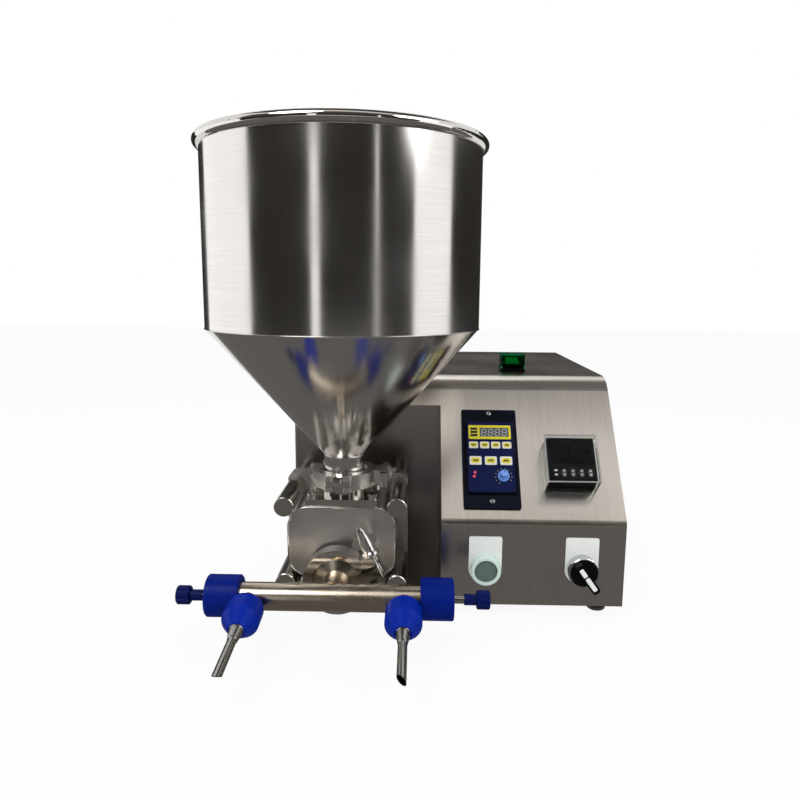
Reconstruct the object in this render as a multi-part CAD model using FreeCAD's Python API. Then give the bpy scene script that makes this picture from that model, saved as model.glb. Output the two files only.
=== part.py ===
import FreeCAD, Part
import math
import os

# Donut filler: a hopper over a gear pump, with a two-needle outlet and a control box.
# Millimetres, +Z up. While it is built, X starts at the control box's left side, Y at its
# front and Z at its bottom edge. The last step moves the origin to the bench, under the middle.

V = FreeCAD.Vector
X, Y, Z = V(1, 0, 0), V(0, 1, 0), V(0, 0, 1)

# Housing, folded from stainless sheet. "through" is how far a cut runs past what it opens.
sheet = 1.5
box_width = 180.0
recess_width = 165.0
housing_depth = 390.0
housing_height = 215.0
lower_panel_height = 85.0
slant_reach = 105.0
top_bend = 36.0
low_bend = 10.0
recess_depth = 131.0
tray_height = 12.0
lip_drop = 37.0
seat_gap = 0.3
wall_shaft_hole = 12.0
vent_x = (-85.0, 90.0)
vent_rows = 7
vent_length = 70.0
vent_height = 5.0
vent_pitch = 12.0
vent_z = 95.0
gland_x = 90.0
gland_z = 45.0
gland_radius = 9.8
gland_bore = 4.5
screw_radius = 2.0
screw_head_radius = 4.0

# Rubber feet
foot_radius = 10.5
foot_height = 13.0
foot_inset_x = 19.5
foot_inset_y = 25.0
foot_screw_radius = 2.5

# Pump: body block, back plate, posts and round bar nuts
pump_x = -97.0
pump_z = 66.0
body_width = 104.5
body_height = 70.0
body_corner = 20.0
body_front = -10.0
back_plate_front = 56.0
back_plate_thickness = 16.0
back_plate_width = 126.5
back_plate_height = 104.5
bar_radius = 9.5
bar_length = 77.0
bar_spacing_x = 107.7
bar_spacing_z = 76.2
post_radius = 7.0
stud_radius = 4.0

# Gear pair
gear_teeth = 14
gear_module = 2.6
gear_pressure_angle = 20.0
gear_backlash = 0.12
gear_length = 44.0
gear_side_clearance = 0.15
gear_tip_clearance = 0.25
journal_radius = 8.0
bush_wall = 3.0
running_clearance = 0.04
through = 5.0
bush_length = 10.0
seal_radius = 13.0
seal_thickness = 6.0
body_bolt_radius = 3.0
body_bolt_x = 44.0
body_bolt_z = 24.0
body_bolt_depth = 16.0
oring_section = 2.6
oring_margin = 2.6
inlet_bore = 16.0
outlet_slot = 7.0

# Neck, tri-clamp joints and hopper
hopper_y = 22.0
flange_width = 70.0
flange_depth = 60.0
flange_thickness = 7.0
flange_screw_x = 30.0
flange_screw_y = 25.0
flange_screw_radius = 2.5
flange_screw_length = 14.0
spool_radius = 22.0
neck_radius = 20.0
neck_wall = 2.0
neck_joint_z = 125.0
ferrule_radius = 25.25
ferrule_rim = 2.85
ferrule_slope = 20.0
gasket_thickness = 2.0
cone_bottom_z = 147.0
cone_top_z = 272.0
hopper_radius = 130.0
hopper_wall = 1.5
rim_z = 438.0
rim_bead = 5.0

# Clamp rings
clamp_radius = 32.0
clamp_width = 15.0
clamp_inner = 22.9
clamp_floor = 26.2
clamp_gap = 3.0
clamp_bolt_radius = 3.0
clamp_bolt_offset = 40.0
clamp_lug_margin = 3.5
clamp_lug_thickness = 9.0
clamp_head_radius = 4.0
nut_seat_gap = 0.35
link_radius = 33.0
link_pin_offset = 9.0
link_boss = 4.5
link_pin = 2.0
link_slot = 2.8
link_gap = 5.0
wing_flange_radius = 8.0
wing_hub_radius = 6.5
wing_nut_height = 26.0
wing_radius = 5.4
wing_reach = 7.0
wing_height = 14.0
wing_thickness = 4.0
inlet_wing_roll = 0.0
outlet_wing_roll = 0.0
inlet_lug_angle = 0.0
inlet_link_angles = (-95.0, 142.0)
outlet_lug_angle = 24.0
outlet_link_angles = (204.0,)

# Outlet and manifold
outlet_x = -100.0
outlet_z = 33.5
outlet_boss_radius = 18.0
outlet_neck_radius = 16.0
outlet_bore = 11.0
outlet_joint_y = -23.5
manifold_y = -62.0
manifold_radius = 12.7
tube_wall = 1.6
left_cap_face = -213.0
right_cap_face = 9.5
cap_radius = 19.0
cap_length = 30.0
cap_end = 10.0
flow_screw_radius = 3.0
flow_screw_tip = 42.0
knob_neck_radius = 5.0
knob_neck_length = 11.0
knob_head_radius = 8.5
knob_head_length = 12.0
knob_gap_left = 5.0
knob_gap_right = 9.5

# Nozzles
nozzle_x = (-174.0, -35.0)
nozzle_tilt = 6.0
nozzle_stub_radius = 8.4
nozzle_stub_reach = 38.0
nut_start = 20.0
nut_radius = 16.3
nut_barrel = 21.0
nut_cone = 14.0
nut_mouth_radius = 7.6
needle_radius = 3.9
needle_wall = 0.4
needle_collar = 2.0
needle_bevel = 9.0
needle_rolls = (180.0, 90.0)
needle_length = 66.0
ferrule_nose_radius = 6.6
ferrule_nose_length = 13.0

# Control panel pieces
controller_x = 50.0
controller_s = 68.5
controller_width = 57.0
controller_height = 110.0
controller_plate = 3.0
fascia_width = 50.0
fascia_height = 81.0
fascia_rise = 3.0
controller_case_depth = 48.0
dial_x = 62.0
dial_s = 46.0
dial_radius = 4.0
dial_height = 9.0
display_s = 99.0
upper_keys_s = 85.0
lower_keys_s = 66.0
timer_key_pitch = 8.0
timer_key_drop = 17.5
timer_x = 127.0
timer_s = 57.0
timer_size = 48.0
timer_rise = 12.0
timer_cover_size = 52.0
timer_cover_rise = 28.0
timer_case_size = 44.6
timer_case_depth = 60.0
start_x = 43.4
selector_x = 137.9
button_z = 39.0
button_hole_radius = 11.0
bezel_radius = 14.7
bezel_rise = 12.0
lens_radius = 10.8
lens_travel = 4.0
lever_length = 33.0
lever_width = 8.0
lever_turn = 36.0
lever_rise = 11.0
selector_face_radius = 12.9
button_barrel = 20.0
lens_stem_radius = 8.9
switch_x = 84.5
switch_y = 157.0
switch_width = 28.0
switch_depth = 24.0
switch_rise = 20.0
switch_hole_width = 24.0
switch_hole_depth = 20.0
switch_body_depth = 22.0
rocker_tilt = 12.0
rocker_width = 14.0
rocker_depth = 15.0
rocker_pivot_rise = 7.0
rocker_pin_radius = 1.5
rocker_pin_reach = 2.0

# Drive behind the recess wall
gearbox_size = 80.0
gearbox_depth = 58.0
motor_radius = 39.0
motor_length = 118.0
fan_cover_length = 26.0


def block(x0, x1, y0, y1, z0, z1):
    return Part.makeBox(x1 - x0, y1 - y0, z1 - z0, V(x0, y0, z0))


def rod(start, axis, radius, length):
    return Part.makeCylinder(radius, length, start, axis)


def tube(start, axis, outer, inner, length):
    return rod(start, axis, outer, length).cut(rod(start, axis, inner, length))


def extrude(points, direction):
    return Part.Face(Part.makePolygon(points + [points[0]])).extrude(direction)


def revolve(points, base, axis):
    return Part.Face(Part.makePolygon(points + [points[0]])).revolve(base, axis, 360)


def fuse(first, *others):
    return first.fuse(list(others)).removeSplitter()


def rounded_edges(shape, direction, radius):
    picked = []
    for edge in shape.Edges:
        if isinstance(edge.Curve, (Part.Line, Part.LineSegment)):
            run = edge.Vertexes[-1].Point - edge.Vertexes[0].Point
            if abs(run.normalize().dot(direction)) > 0.999:
                picked.append(edge)
    return shape.makeFillet(radius, picked)


def rounded_block(x0, x1, y0, y1, z0, z1, direction, radius):
    return rounded_edges(block(x0, x1, y0, y1, z0, z1), direction, radius)


# The slanted panel: its angle, and a frame on it with X across, Y up the slope and Z outwards

slant_angle = math.degrees(math.atan2(housing_height - lower_panel_height, slant_reach))
slant_length = math.hypot(housing_height - lower_panel_height, slant_reach)


def on_slant(shape):
    shape.rotate(V(0, 0, 0), X, slant_angle)
    shape.translate(V(0, 0, lower_panel_height))
    return shape


def housing_block(x0, x1, inset, grow=0.0):
    # The housing's side outline, with both bends, as a solid between two X values
    sine = math.sin(math.radians(slant_angle))
    cosine = math.cos(math.radians(slant_angle))
    tangent = sine / cosine
    low_z = lower_panel_height - inset * cosine + inset * (1 - sine) * tangent
    top_z = housing_height - inset
    top_y = inset * sine + (top_z - lower_panel_height + inset * cosine) / tangent
    rear = housing_depth + grow
    corners = [(inset, -grow), (inset, low_z), (top_y, top_z), (rear, top_z), (rear, -grow)]
    solid = extrude([V(x0, y, z) for y, z in corners], V(x1 - x0, 0, 0))
    for y, z, radius in ((inset, low_z, low_bend), (top_y, top_z, top_bend)):
        edges = [e for e in solid.Edges if e.BoundBox.XLength > 0.5 * (x1 - x0)
                 and math.hypot(e.CenterOfMass.y - y, e.CenterOfMass.z - z) < 1.0]
        solid = solid.makeFillet(radius - inset, edges)
    return solid


def folded_cover(x0, x1):
    return housing_block(x0, x1, 0).cut(housing_block(x0 - 1, x1 + 1, sheet, 5.0))


def sheet_hole_round(x, z, radius):
    return rod(V(x, -5, z), Y, radius, 20)


rocker_pivot_z = housing_height + rocker_pivot_rise
left_side = -recess_width
right_side = box_width
lip_y = slant_reach - lip_drop * math.cos(math.radians(slant_angle))
lip_z = housing_height - lip_drop * math.sin(math.radians(slant_angle))
wall_back = recess_depth + sheet
pan_top = tray_height


def make_control_cover():
    cover = folded_cover(sheet, right_side - sheet)
    cover = cover.cut(block(0, right_side, housing_depth - sheet, housing_depth + 1, -1,
                            housing_height - sheet))
    case = rounded_block(controller_x - fascia_width / 2, controller_x + fascia_width / 2,
                         controller_s - fascia_height / 2, controller_s + fascia_height / 2, -10, 10, Z, 2.0)
    cover = cover.cut(on_slant(case))
    half = timer_case_size / 2 + seat_gap
    cover = cover.cut(on_slant(block(timer_x - half, timer_x + half, timer_s - half, timer_s + half, -10,
                                     10)))
    for x in (start_x, selector_x):
        cover = cover.cut(sheet_hole_round(x, button_z, button_hole_radius + seat_gap))
    return cover.cut(block(switch_x - switch_hole_width / 2, switch_x + switch_hole_width / 2,
                           switch_y - switch_hole_depth / 2, switch_y + switch_hole_depth / 2,
                           housing_height - 10, housing_height + 5))


def make_drive_cover():
    cover = folded_cover(left_side + sheet, 0)
    cover = cover.cut(block(left_side, 1, -1, recess_depth, -1, lip_z))
    return cover.cut(block(left_side, 1, housing_depth - sheet, housing_depth + 1, -1,
                           housing_height - sheet))


def make_right_side_panel():
    return housing_block(right_side - sheet, right_side, 0)


def make_left_side_panel():
    panel = housing_block(left_side, left_side + sheet, 0)
    return panel.cut(block(left_side - 1, left_side + 3, -1, recess_depth, -1, lip_z))


def make_control_box_side():
    panel = housing_block(0, sheet, 0)
    return panel.cut(block(-1, 3, housing_depth - sheet, housing_depth + 1, -1, housing_height + 1)).cut(
        block(-1, 3, -1, housing_depth + 1, -1, pan_top))


def make_recess_wall():
    wall = block(left_side + sheet, 0, recess_depth, wall_back, pan_top, housing_height - sheet)
    wall = wall.cut(rod(V(drive_x, recess_depth - 1, pump_z), Y, wall_shaft_hole, 5))
    for x, z in bar_places():
        wall = wall.cut(rod(V(x, recess_depth - 1, z), Y, stud_radius + seat_gap, 5))
    return wall


def make_base_pan():
    front = block(left_side, sheet, 0, recess_depth, pan_top - sheet, pan_top)
    rear = block(left_side + sheet, right_side - sheet, recess_depth, housing_depth - sheet,
                 pan_top - sheet, pan_top)
    right = block(sheet, right_side - sheet, sheet, recess_depth, pan_top - sheet, pan_top)
    front_flange = block(left_side, sheet, 0, sheet, 0, pan_top)
    left_flange = block(left_side, left_side + sheet, 0, recess_depth, 0, pan_top)
    pan = fuse(front, rear, right, front_flange, left_flange)
    for x, y in foot_places():
        pan = pan.cut(rod(V(x, y, 0), Z, foot_screw_radius + seat_gap, 30))
    return pan


def make_rear_panel():
    panel = block(left_side + sheet, right_side - sheet, housing_depth - sheet, housing_depth, 0,
                  housing_height - sheet)
    for middle in vent_x:
        for row in range(vent_rows):
            z = vent_z + row * vent_pitch
            slot = rounded_block(middle - vent_length / 2, middle + vent_length / 2, housing_depth - 5,
                                 housing_depth + 5, z, z + vent_height, Y, vent_height / 2 - 0.05)
            panel = panel.cut(slot)
    panel = panel.cut(rod(V(gland_x, housing_depth - 5, gland_z), Y, gland_radius + seat_gap, 10))
    for x, z in rear_screw_places():
        panel = panel.cut(rod(V(x, housing_depth - sheet - through, z), Y, screw_radius + 0.2,
                              sheet + 2 * through))
    return panel


def rear_screw_places():
    inset = 12.0
    xs = (left_side + inset, 0.5 * (left_side + right_side), right_side - inset)
    return [(x, z) for x in xs for z in (tray_height + inset, housing_height - inset)]


def make_rear_screws():
    screws = []
    for x, z in rear_screw_places():
        shank = rod(V(x, housing_depth - 8, z), Y, screw_radius, 8)
        head = rod(V(x, housing_depth + 0.05, z), Y, screw_head_radius, 2.2)
        head = head.makeChamfer(1.0, [e for e in head.Edges if e.BoundBox.YMin > housing_depth + 2])
        screws.append(fuse(shank, head, rod(V(x, housing_depth - 0.5, z), Y, screw_radius, 1)))
    return screws


def foot_places():
    xs = (left_side + foot_inset_x, right_side - foot_inset_x)
    return [(x, y) for x in xs for y in (foot_inset_y, housing_depth - foot_inset_y)]


def make_rubber_feet():
    feet = []
    for x, y in foot_places():
        top = pan_top - sheet
        foot = Part.makeCone(foot_radius * 0.86, foot_radius, 8.0, V(x, y, -foot_height))
        foot = fuse(foot, rod(V(x, y, 8.0 - foot_height), Z, foot_radius, top + foot_height - 8.0))
        foot = foot.makeChamfer(1.0, [e for e in foot.Edges if e.BoundBox.ZMax < 0.01 - foot_height])
        foot = foot.cut(rod(V(x, y, -foot_height - 1), Z, foot_screw_radius + 3.0, 9.0))
        feet.append(foot.cut(rod(V(x, y, -foot_height), Z, foot_screw_radius + 0.2, 40)))
    return feet


def make_foot_screws():
    screws = []
    for x, y in foot_places():
        seat = 8.0 - foot_height
        head = rod(V(x, y, seat - 3.0), Z, foot_screw_radius + 2.0, 3.0)
        shank = rod(V(x, y, seat - 1.0), Z, foot_screw_radius, pan_top + 6.0 - seat)
        nut = extrude([V(x + 5.0 * math.cos(a * math.pi / 3), y + 5.0 * math.sin(a * math.pi / 3), pan_top)
                       for a in range(6)], V(0, 0, 4.0))
        screws.append(fuse(head, shank, nut))
    return screws


# Pump

body_back = back_plate_front
body_top = pump_z + body_height / 2
body_bottom = pump_z - body_height / 2
pitch_radius = gear_teeth * gear_module / 2
tip_radius = pitch_radius + gear_module
drive_x = pump_x + pitch_radius
idler_x = pump_x - pitch_radius
chamber_front = body_back - gear_length - 2 * gear_side_clearance
chamber_radius = tip_radius + gear_tip_clearance
bush_outer = journal_radius + running_clearance + bush_wall
back_plate_back = back_plate_front + back_plate_thickness


def bar_places():
    xs = (pump_x - bar_spacing_x / 2, pump_x + bar_spacing_x / 2)
    zs = (pump_z - bar_spacing_z / 2, pump_z + bar_spacing_z / 2)
    return [(x, z) for x in xs for z in zs]


def stadium(y0, y1, radius):
    # The two-lobed outline round the gear pair, filled straight between the lobes
    middle = block(idler_x, drive_x, y0, y1, pump_z - radius, pump_z + radius)
    return fuse(middle, rod(V(idler_x, y0, pump_z), Y, radius, y1 - y0),
                rod(V(drive_x, y0, pump_z), Y, radius, y1 - y0))


def make_pump_body():
    body = rounded_block(pump_x - body_width / 2, pump_x + body_width / 2, body_front, body_back,
                         body_bottom, body_top, Y, body_corner)
    boss = rod(V(outlet_x, body_front, outlet_z), Y, outlet_boss_radius, body_back - body_front)
    body = fuse(body, boss, outlet_ferrule(1, body_front - outlet_joint_y + 1.0))
    for x in (drive_x, idler_x):
        body = body.cut(rod(V(x, chamber_front, pump_z), Y, chamber_radius, body_back))
        body = body.cut(rod(V(x, chamber_front - bush_length - 1.0, pump_z), Y, bush_outer + 0.02,
                            bush_length + 2))
    body = body.cut(rod(V(pump_x, hopper_y, pump_z + 8.0), Z, inlet_bore, body_height))
    slot_z = pump_z - 0.6 * chamber_radius
    body = body.cut(block(pump_x - outlet_slot, pump_x + outlet_slot, chamber_front + 4, body_back - 6,
                          outlet_z, slot_z))
    body = body.cut(rod(V(outlet_x, outlet_joint_y - 1, outlet_z), Y, outlet_bore,
                        body_back - 6 - outlet_joint_y + 1))
    for x, y in flange_screw_places():
        body = body.cut(rod(V(x, y, body_top - flange_screw_length), Z, flange_screw_radius,
                            2 * flange_screw_length))
    for x, z in body_bolt_places():
        body = body.cut(rod(V(x, body_back - body_bolt_depth, z), Y, body_bolt_radius, body_bolt_depth + 1))
    groove = stadium(body_back - oring_section + 0.3, body_back + 1,
                     chamber_radius + oring_margin + oring_section)
    groove = groove.cut(stadium(body_back - oring_section, body_back + 2, chamber_radius + oring_margin))
    return body.cut(groove)


def make_chamber_seal():
    outer = stadium(body_back - oring_section + 0.4, body_back,
                    chamber_radius + oring_margin + oring_section - 0.1)
    return outer.cut(stadium(body_back - oring_section, body_back + 1, chamber_radius + oring_margin + 0.1))


def body_bolt_places():
    return [(pump_x + i * body_bolt_x, pump_z + k * body_bolt_z) for i in (-1, 1) for k in (-1, 1)]


def make_body_bolts():
    bolts = []
    for x, z in body_bolt_places():
        start = body_back - body_bolt_depth + 1
        shank = rod(V(x, start, z), Y, body_bolt_radius, back_plate_back - start + 0.5)
        head = rod(V(x, back_plate_back, z), Y, 1.7 * body_bolt_radius, 2 * body_bolt_radius)
        socket = extrude([V(x + 2.9 * math.cos(a * math.pi / 3), back_plate_back + 3,
                            z + 2.9 * math.sin(a * math.pi / 3))
                          for a in range(6)], V(0, 10, 0))
        bolts.append(fuse(shank, head).cut(socket))
    return bolts


def make_back_plate():
    plate = rounded_block(pump_x - back_plate_width / 2, pump_x + back_plate_width / 2, back_plate_front,
                          back_plate_back, pump_z - back_plate_height / 2, pump_z + back_plate_height / 2, Y,
                          bar_radius)
    for x, z in bar_places():
        plate = plate.cut(rod(V(x, back_plate_front - 1, z), Y, stud_radius + 0.1, back_plate_thickness + 2))
    for x, z in body_bolt_places():
        plate = plate.cut(rod(V(x, back_plate_front - 1, z), Y, body_bolt_radius + 0.1,
                              back_plate_thickness + 2))
    for x in (drive_x, idler_x):
        plate = plate.cut(rod(V(x, back_plate_front - 1, pump_z), Y, bush_outer + 0.02, bush_length + 1))
    plate = plate.cut(rod(V(drive_x, back_plate_front, pump_z), Y, journal_radius + 1.0,
                          2 * back_plate_thickness))
    return plate.cut(rod(V(drive_x, back_plate_back - seal_thickness + 1.0, pump_z), Y, seal_radius,
                         2 * seal_thickness))


def make_rotor_bushes():
    bushes = []
    for x in (drive_x, idler_x):
        for y in (chamber_front - bush_length, back_plate_front):
            bushes.append(tube(V(x, y, pump_z), Y, bush_outer, journal_radius + running_clearance,
                               bush_length - 0.05))
    return bushes


def make_shaft_seal():
    start = back_plate_back - seal_thickness + 1.0
    ring = tube(V(drive_x, start, pump_z), Y, seal_radius - 0.02, journal_radius + 1.5, seal_thickness - 1.0)
    lip = revolve([V(drive_x, start, pump_z + journal_radius + 1.6),
                   V(drive_x, start + 2.2, pump_z + journal_radius + 1.6),
                   V(drive_x, start + 1.0, pump_z + journal_radius + 0.06),
                   V(drive_x, start + 0.4, pump_z + journal_radius + 0.06)], V(drive_x, 0, pump_z), Y)
    return fuse(ring, lip)


def involute(angle):
    return math.tan(angle) - angle


def gear_outline(centre_x, turn):
    # Involute flanks from the base circle to the tip, with radial roots below
    pressure = math.radians(gear_pressure_angle)
    base = pitch_radius * math.cos(pressure)
    root = pitch_radius - 1.25 * gear_module
    half_pitch_tooth = math.pi / (2 * gear_teeth) - gear_backlash / (2 * pitch_radius)
    half_base_tooth = half_pitch_tooth + involute(pressure)
    flank = []
    steps = 4
    for i in range(steps + 1):
        radius = base + (tip_radius - base) * i / steps
        angle = half_base_tooth - involute(math.acos(min(1.0, base / radius)))
        flank.append((radius, angle))
    flank = [(root, half_base_tooth)] + flank
    points = []
    for tooth in range(gear_teeth):
        middle = turn + 2 * math.pi * tooth / gear_teeth
        polar = [(r, middle - a) for r, a in flank] + [(r, middle + a) for r, a in reversed(flank)]
        points += [V(centre_x + r * math.cos(a), 0, pump_z + r * math.sin(a)) for r, a in polar]
    return points


def make_gear(centre_x, turn, shaft_end):
    start = chamber_front + gear_side_clearance
    gear = extrude([p + V(0, start, 0) for p in gear_outline(centre_x, turn)], V(0, gear_length, 0))
    front = chamber_front - bush_length + 0.5
    return fuse(gear, rod(V(centre_x, front, pump_z), Y, journal_radius, shaft_end - front))


def make_drive_gear():
    return make_gear(drive_x, math.pi / gear_teeth, wall_back + 24.0)


def make_idler_gear():
    return make_gear(idler_x, 0.0, back_plate_front + bush_length - 0.5)


def make_post_spacers():
    return [tube(V(x, back_plate_back, z), Y, post_radius, stud_radius + 0.1, recess_depth - back_plate_back)
            for x, z in bar_places()]


def make_tie_studs():
    return [rod(V(x, back_plate_front - 20, z), Y, stud_radius, wall_back + 6 - back_plate_front + 20)
            for x, z in bar_places()]


def make_round_nuts():
    nuts = []
    for x, z in bar_places():
        nut = rod(V(x, back_plate_front - bar_length, z), Y, bar_radius, bar_length)
        front_edges = [e for e in nut.Edges if e.BoundBox.YMax < back_plate_front - bar_length + 0.1]
        nut = nut.makeChamfer(0.6, front_edges)
        nuts.append(nut.cut(rod(V(x, back_plate_front - 22, z), Y, stud_radius + 0.05, 40)))
    return nuts


# Drive

def make_gearbox():
    half = gearbox_size / 2
    box = rounded_block(drive_x - half, drive_x + half, wall_back, wall_back + gearbox_depth,
                        pump_z - half, pump_z + half, Y, 6.0)
    box = box.cut(rod(V(drive_x, wall_back - 1, pump_z), Y, journal_radius + running_clearance, 26.0))
    for x, z in bar_places():
        box = box.cut(rod(V(x, wall_back - 1, z), Y, stud_radius + 1.5, 9))
    return box


def make_drive_motor():
    start = wall_back + gearbox_depth
    flange = rounded_block(drive_x - motor_radius, drive_x + motor_radius, start, start + 6,
                           pump_z - motor_radius, pump_z + motor_radius, Y, 5.0)
    can = rod(V(drive_x, start + 6, pump_z), Y, motor_radius - 1.0, motor_length - 6)
    cap = rod(V(drive_x, start + motor_length, pump_z), Y, motor_radius - 3.0, fan_cover_length)
    cap_end_y = start + motor_length + fan_cover_length
    cap = cap.makeChamfer(4.0, [e for e in cap.Edges if e.BoundBox.YMin > cap_end_y - 1])
    return fuse(flange, can, cap)


# Tri-clamp joints. Each is drawn round its own Z axis, about the middle of its gasket.

def ferrule(base, axis, neck, bore, length):
    face = gasket_thickness / 2
    rim = face + ferrule_rim
    slope_end = rim + (ferrule_radius - neck) * math.tan(math.radians(ferrule_slope))
    points = [V(bore, 0, face), V(ferrule_radius, 0, face), V(ferrule_radius, 0, rim),
              V(neck, 0, slope_end), V(neck, 0, length), V(bore, 0, length)]
    return aimed(revolve(points, V(0, 0, 0), Z), base, axis)


def aimed(shape, base, axis):
    shape.Placement = FreeCAD.Placement(base, FreeCAD.Rotation(Z, axis))
    return shape


def outlet_ferrule(side, length):
    neck = outlet_neck_radius if side > 0 else manifold_radius
    return ferrule(V(outlet_x, outlet_joint_y, outlet_z), V(0, side, 0), neck, outlet_bore, length)


def make_clamp_gaskets():
    half = gasket_thickness / 2
    inlet = tube(V(pump_x, hopper_y, neck_joint_z - half), Z, ferrule_radius - 0.2, neck_radius - neck_wall,
                 gasket_thickness)
    outlet = tube(V(outlet_x, outlet_joint_y - half, outlet_z), Y, ferrule_radius - 0.2, outlet_bore,
                  gasket_thickness)
    return [inlet, outlet]


def turned(shape, angle):
    shape.rotate(V(0, 0, 0), Z, angle)
    return shape


lug_far = clamp_gap / 2 + clamp_lug_thickness
head_t = -(lug_far + clamp_head_radius + 0.2)
nut_t = lug_far + nut_seat_gap
half_width = clamp_width / 2


def clamp_segments(lug_angle, link_angles):
    # The grooved ring, split at the lugs and at each link
    outer_half = gasket_thickness / 2 + ferrule_rim + 0.2
    slope = math.tan(math.radians(ferrule_slope))
    mouth = outer_half + (ferrule_radius - clamp_inner) * slope
    floor = outer_half - (clamp_floor - ferrule_radius) * slope
    ring = revolve([V(clamp_inner, 0, mouth), V(clamp_inner, 0, half_width), V(clamp_radius, 0, half_width),
                    V(clamp_radius, 0, -half_width), V(clamp_inner, 0, -half_width),
                    V(clamp_inner, 0, -mouth),
                    V(clamp_floor, 0, -floor), V(clamp_floor, 0, floor)], V(0, 0, 0), Z)
    lugs = block(clamp_radius - 2, clamp_bolt_offset + clamp_lug_margin, -lug_far, lug_far, -half_width,
                 half_width)
    lugs = rounded_edges(lugs, Y, 1.5)
    slot_half = clamp_bolt_radius + 0.4
    reach = 2 * clamp_radius
    slot = fuse(block(clamp_bolt_offset, reach, -reach, reach, -slot_half, slot_half),
                rod(V(clamp_bolt_offset, -reach, 0), Y, slot_half, 2 * reach))
    ring = ring.fuse(turned(lugs, lug_angle))
    for angle in link_angles:
        for side in (-1, 1):
            boss = rod(V(link_radius, side * link_pin_offset, -half_width), Z, link_boss, clamp_width)
            ring = ring.fuse(turned(boss, angle))
    ring = ring.cut(turned(slot, lug_angle))
    ring = ring.cut(turned(block(0, reach, -clamp_gap / 2, clamp_gap / 2, -clamp_width, clamp_width),
                           lug_angle))
    for angle in link_angles:
        ring = ring.cut(turned(block(0, reach, -link_gap, link_gap, -clamp_width, clamp_width), angle))
        for side in (-1, 1):
            at = V(link_radius, side * link_pin_offset, 0)
            slot = rod(at - Z * link_slot, Z, link_boss + 1.0, 2 * link_slot)
            ring = ring.cut(turned(slot, angle))
            pin_hole = rod(at - Z * clamp_width, Z, link_pin + running_clearance, 2 * clamp_width)
            ring = ring.cut(turned(pin_hole, angle))
    pieces = [p for p in ring.Solids if p.Volume > 200]

    def heading(piece):
        centre = piece.CenterOfMass
        return (math.degrees(math.atan2(centre.y, centre.x)) - lug_angle) % 360
    return sorted(pieces, key=heading)


def clamp_link(angle):
    plate = block(link_radius - link_boss + 0.5, link_radius + link_boss - 0.5, -link_pin_offset,
                  link_pin_offset,
                  -link_slot + 0.3, link_slot - 0.3)
    parts = []
    for side in (-1, 1):
        at = V(link_radius, side * link_pin_offset, 0)
        parts.append(rod(at - Z * (link_slot - 0.3), Z, link_boss - 0.5, 2 * link_slot - 0.6))
        parts.append(rod(at - Z * (half_width + 0.4), Z, link_pin, clamp_width + 0.8))
    return turned(fuse(plate, *parts), angle)


def clamp_bolt(angle):
    at = V(clamp_bolt_offset, head_t, 0)
    head = rod(at - Z * (half_width - 0.5), Z, clamp_head_radius, clamp_width - 1.0)
    shank = rod(at, Y, clamp_bolt_radius, nut_t + wing_nut_height - head_t + 2.0)
    return turned(fuse(head, shank), angle)


def wing_nut(angle, wing_roll):
    start = V(clamp_bolt_offset, nut_t, 0)
    profile = [V(0, 0, 0), V(wing_flange_radius, 0, 0), V(wing_flange_radius, 2.5, 0),
               V(wing_hub_radius, 4.0, 0),
               V(wing_hub_radius - 1.0, 14.0, 0), V(wing_hub_radius - 2.0, wing_nut_height, 0),
               V(0, wing_nut_height, 0)]
    hub = revolve(profile, V(0, 0, 0), Y)
    wings = []
    for side in (-1, 1):
        wing = rod(V(side * wing_reach, wing_height, -wing_thickness / 2), Z, wing_radius, wing_thickness)
        root = extrude([V(0, 3.5, -wing_thickness / 2),
                        V(side * wing_reach, wing_height - wing_radius, -wing_thickness / 2),
                        V(side * wing_reach, wing_height + wing_radius, -wing_thickness / 2),
                        V(0, wing_nut_height - 1.5, -wing_thickness / 2)], V(0, 0, wing_thickness))
        wings += [wing, root]
    nut = fuse(hub, *wings)
    nut.rotate(V(0, 0, 0), Y, wing_roll)
    nut = nut.cut(rod(V(0, -1, 0), Y, clamp_bolt_radius + running_clearance, 2 * wing_nut_height))
    nut.translate(start)
    return turned(nut, angle)


def at_inlet(shape):
    shape.translate(V(pump_x, hopper_y, neck_joint_z))
    return shape


def at_outlet(shape):
    shape.rotate(V(0, 0, 0), X, 90)
    shape.translate(V(outlet_x, outlet_joint_y, outlet_z))
    return shape


# Neck and hopper

def flange_screw_places():
    return [(pump_x + i * flange_screw_x, hopper_y + k * flange_screw_y) for i in (-1, 1) for k in (-1, 1)]


def make_inlet_flange():
    plate = rounded_block(pump_x - flange_width / 2, pump_x + flange_width / 2, hopper_y - flange_depth / 2,
                          hopper_y + flange_depth / 2, body_top, body_top + flange_thickness, Z, 3.0)
    bore = neck_radius - neck_wall
    length = neck_joint_z - body_top
    spool = ferrule(V(pump_x, hopper_y, neck_joint_z), V(0, 0, -1), spool_radius, bore, length)
    plate = fuse(plate, spool).cut(rod(V(pump_x, hopper_y, body_top - 1), Z, bore, length + through))
    for x, y in flange_screw_places():
        plate = plate.cut(rod(V(x, y, body_top - 1), Z, flange_screw_radius + 0.2, 20))
    return plate


def make_flange_screws():
    screws = []
    seat = body_top + flange_thickness
    for x, y in flange_screw_places():
        shank = rod(V(x, y, body_top - flange_screw_length + 1), Z, flange_screw_radius,
                    flange_screw_length + flange_thickness)
        head = rod(V(x, y, seat), Z, 1.75 * flange_screw_radius, 2 * flange_screw_radius)
        socket = extrude([V(x + 2.3 * math.cos(a * math.pi / 3), y + 2.3 * math.sin(a * math.pi / 3),
                            seat + 2.5)
                          for a in range(6)], V(0, 0, 9))
        screws.append(fuse(shank, head).cut(socket))
    return screws


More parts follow.
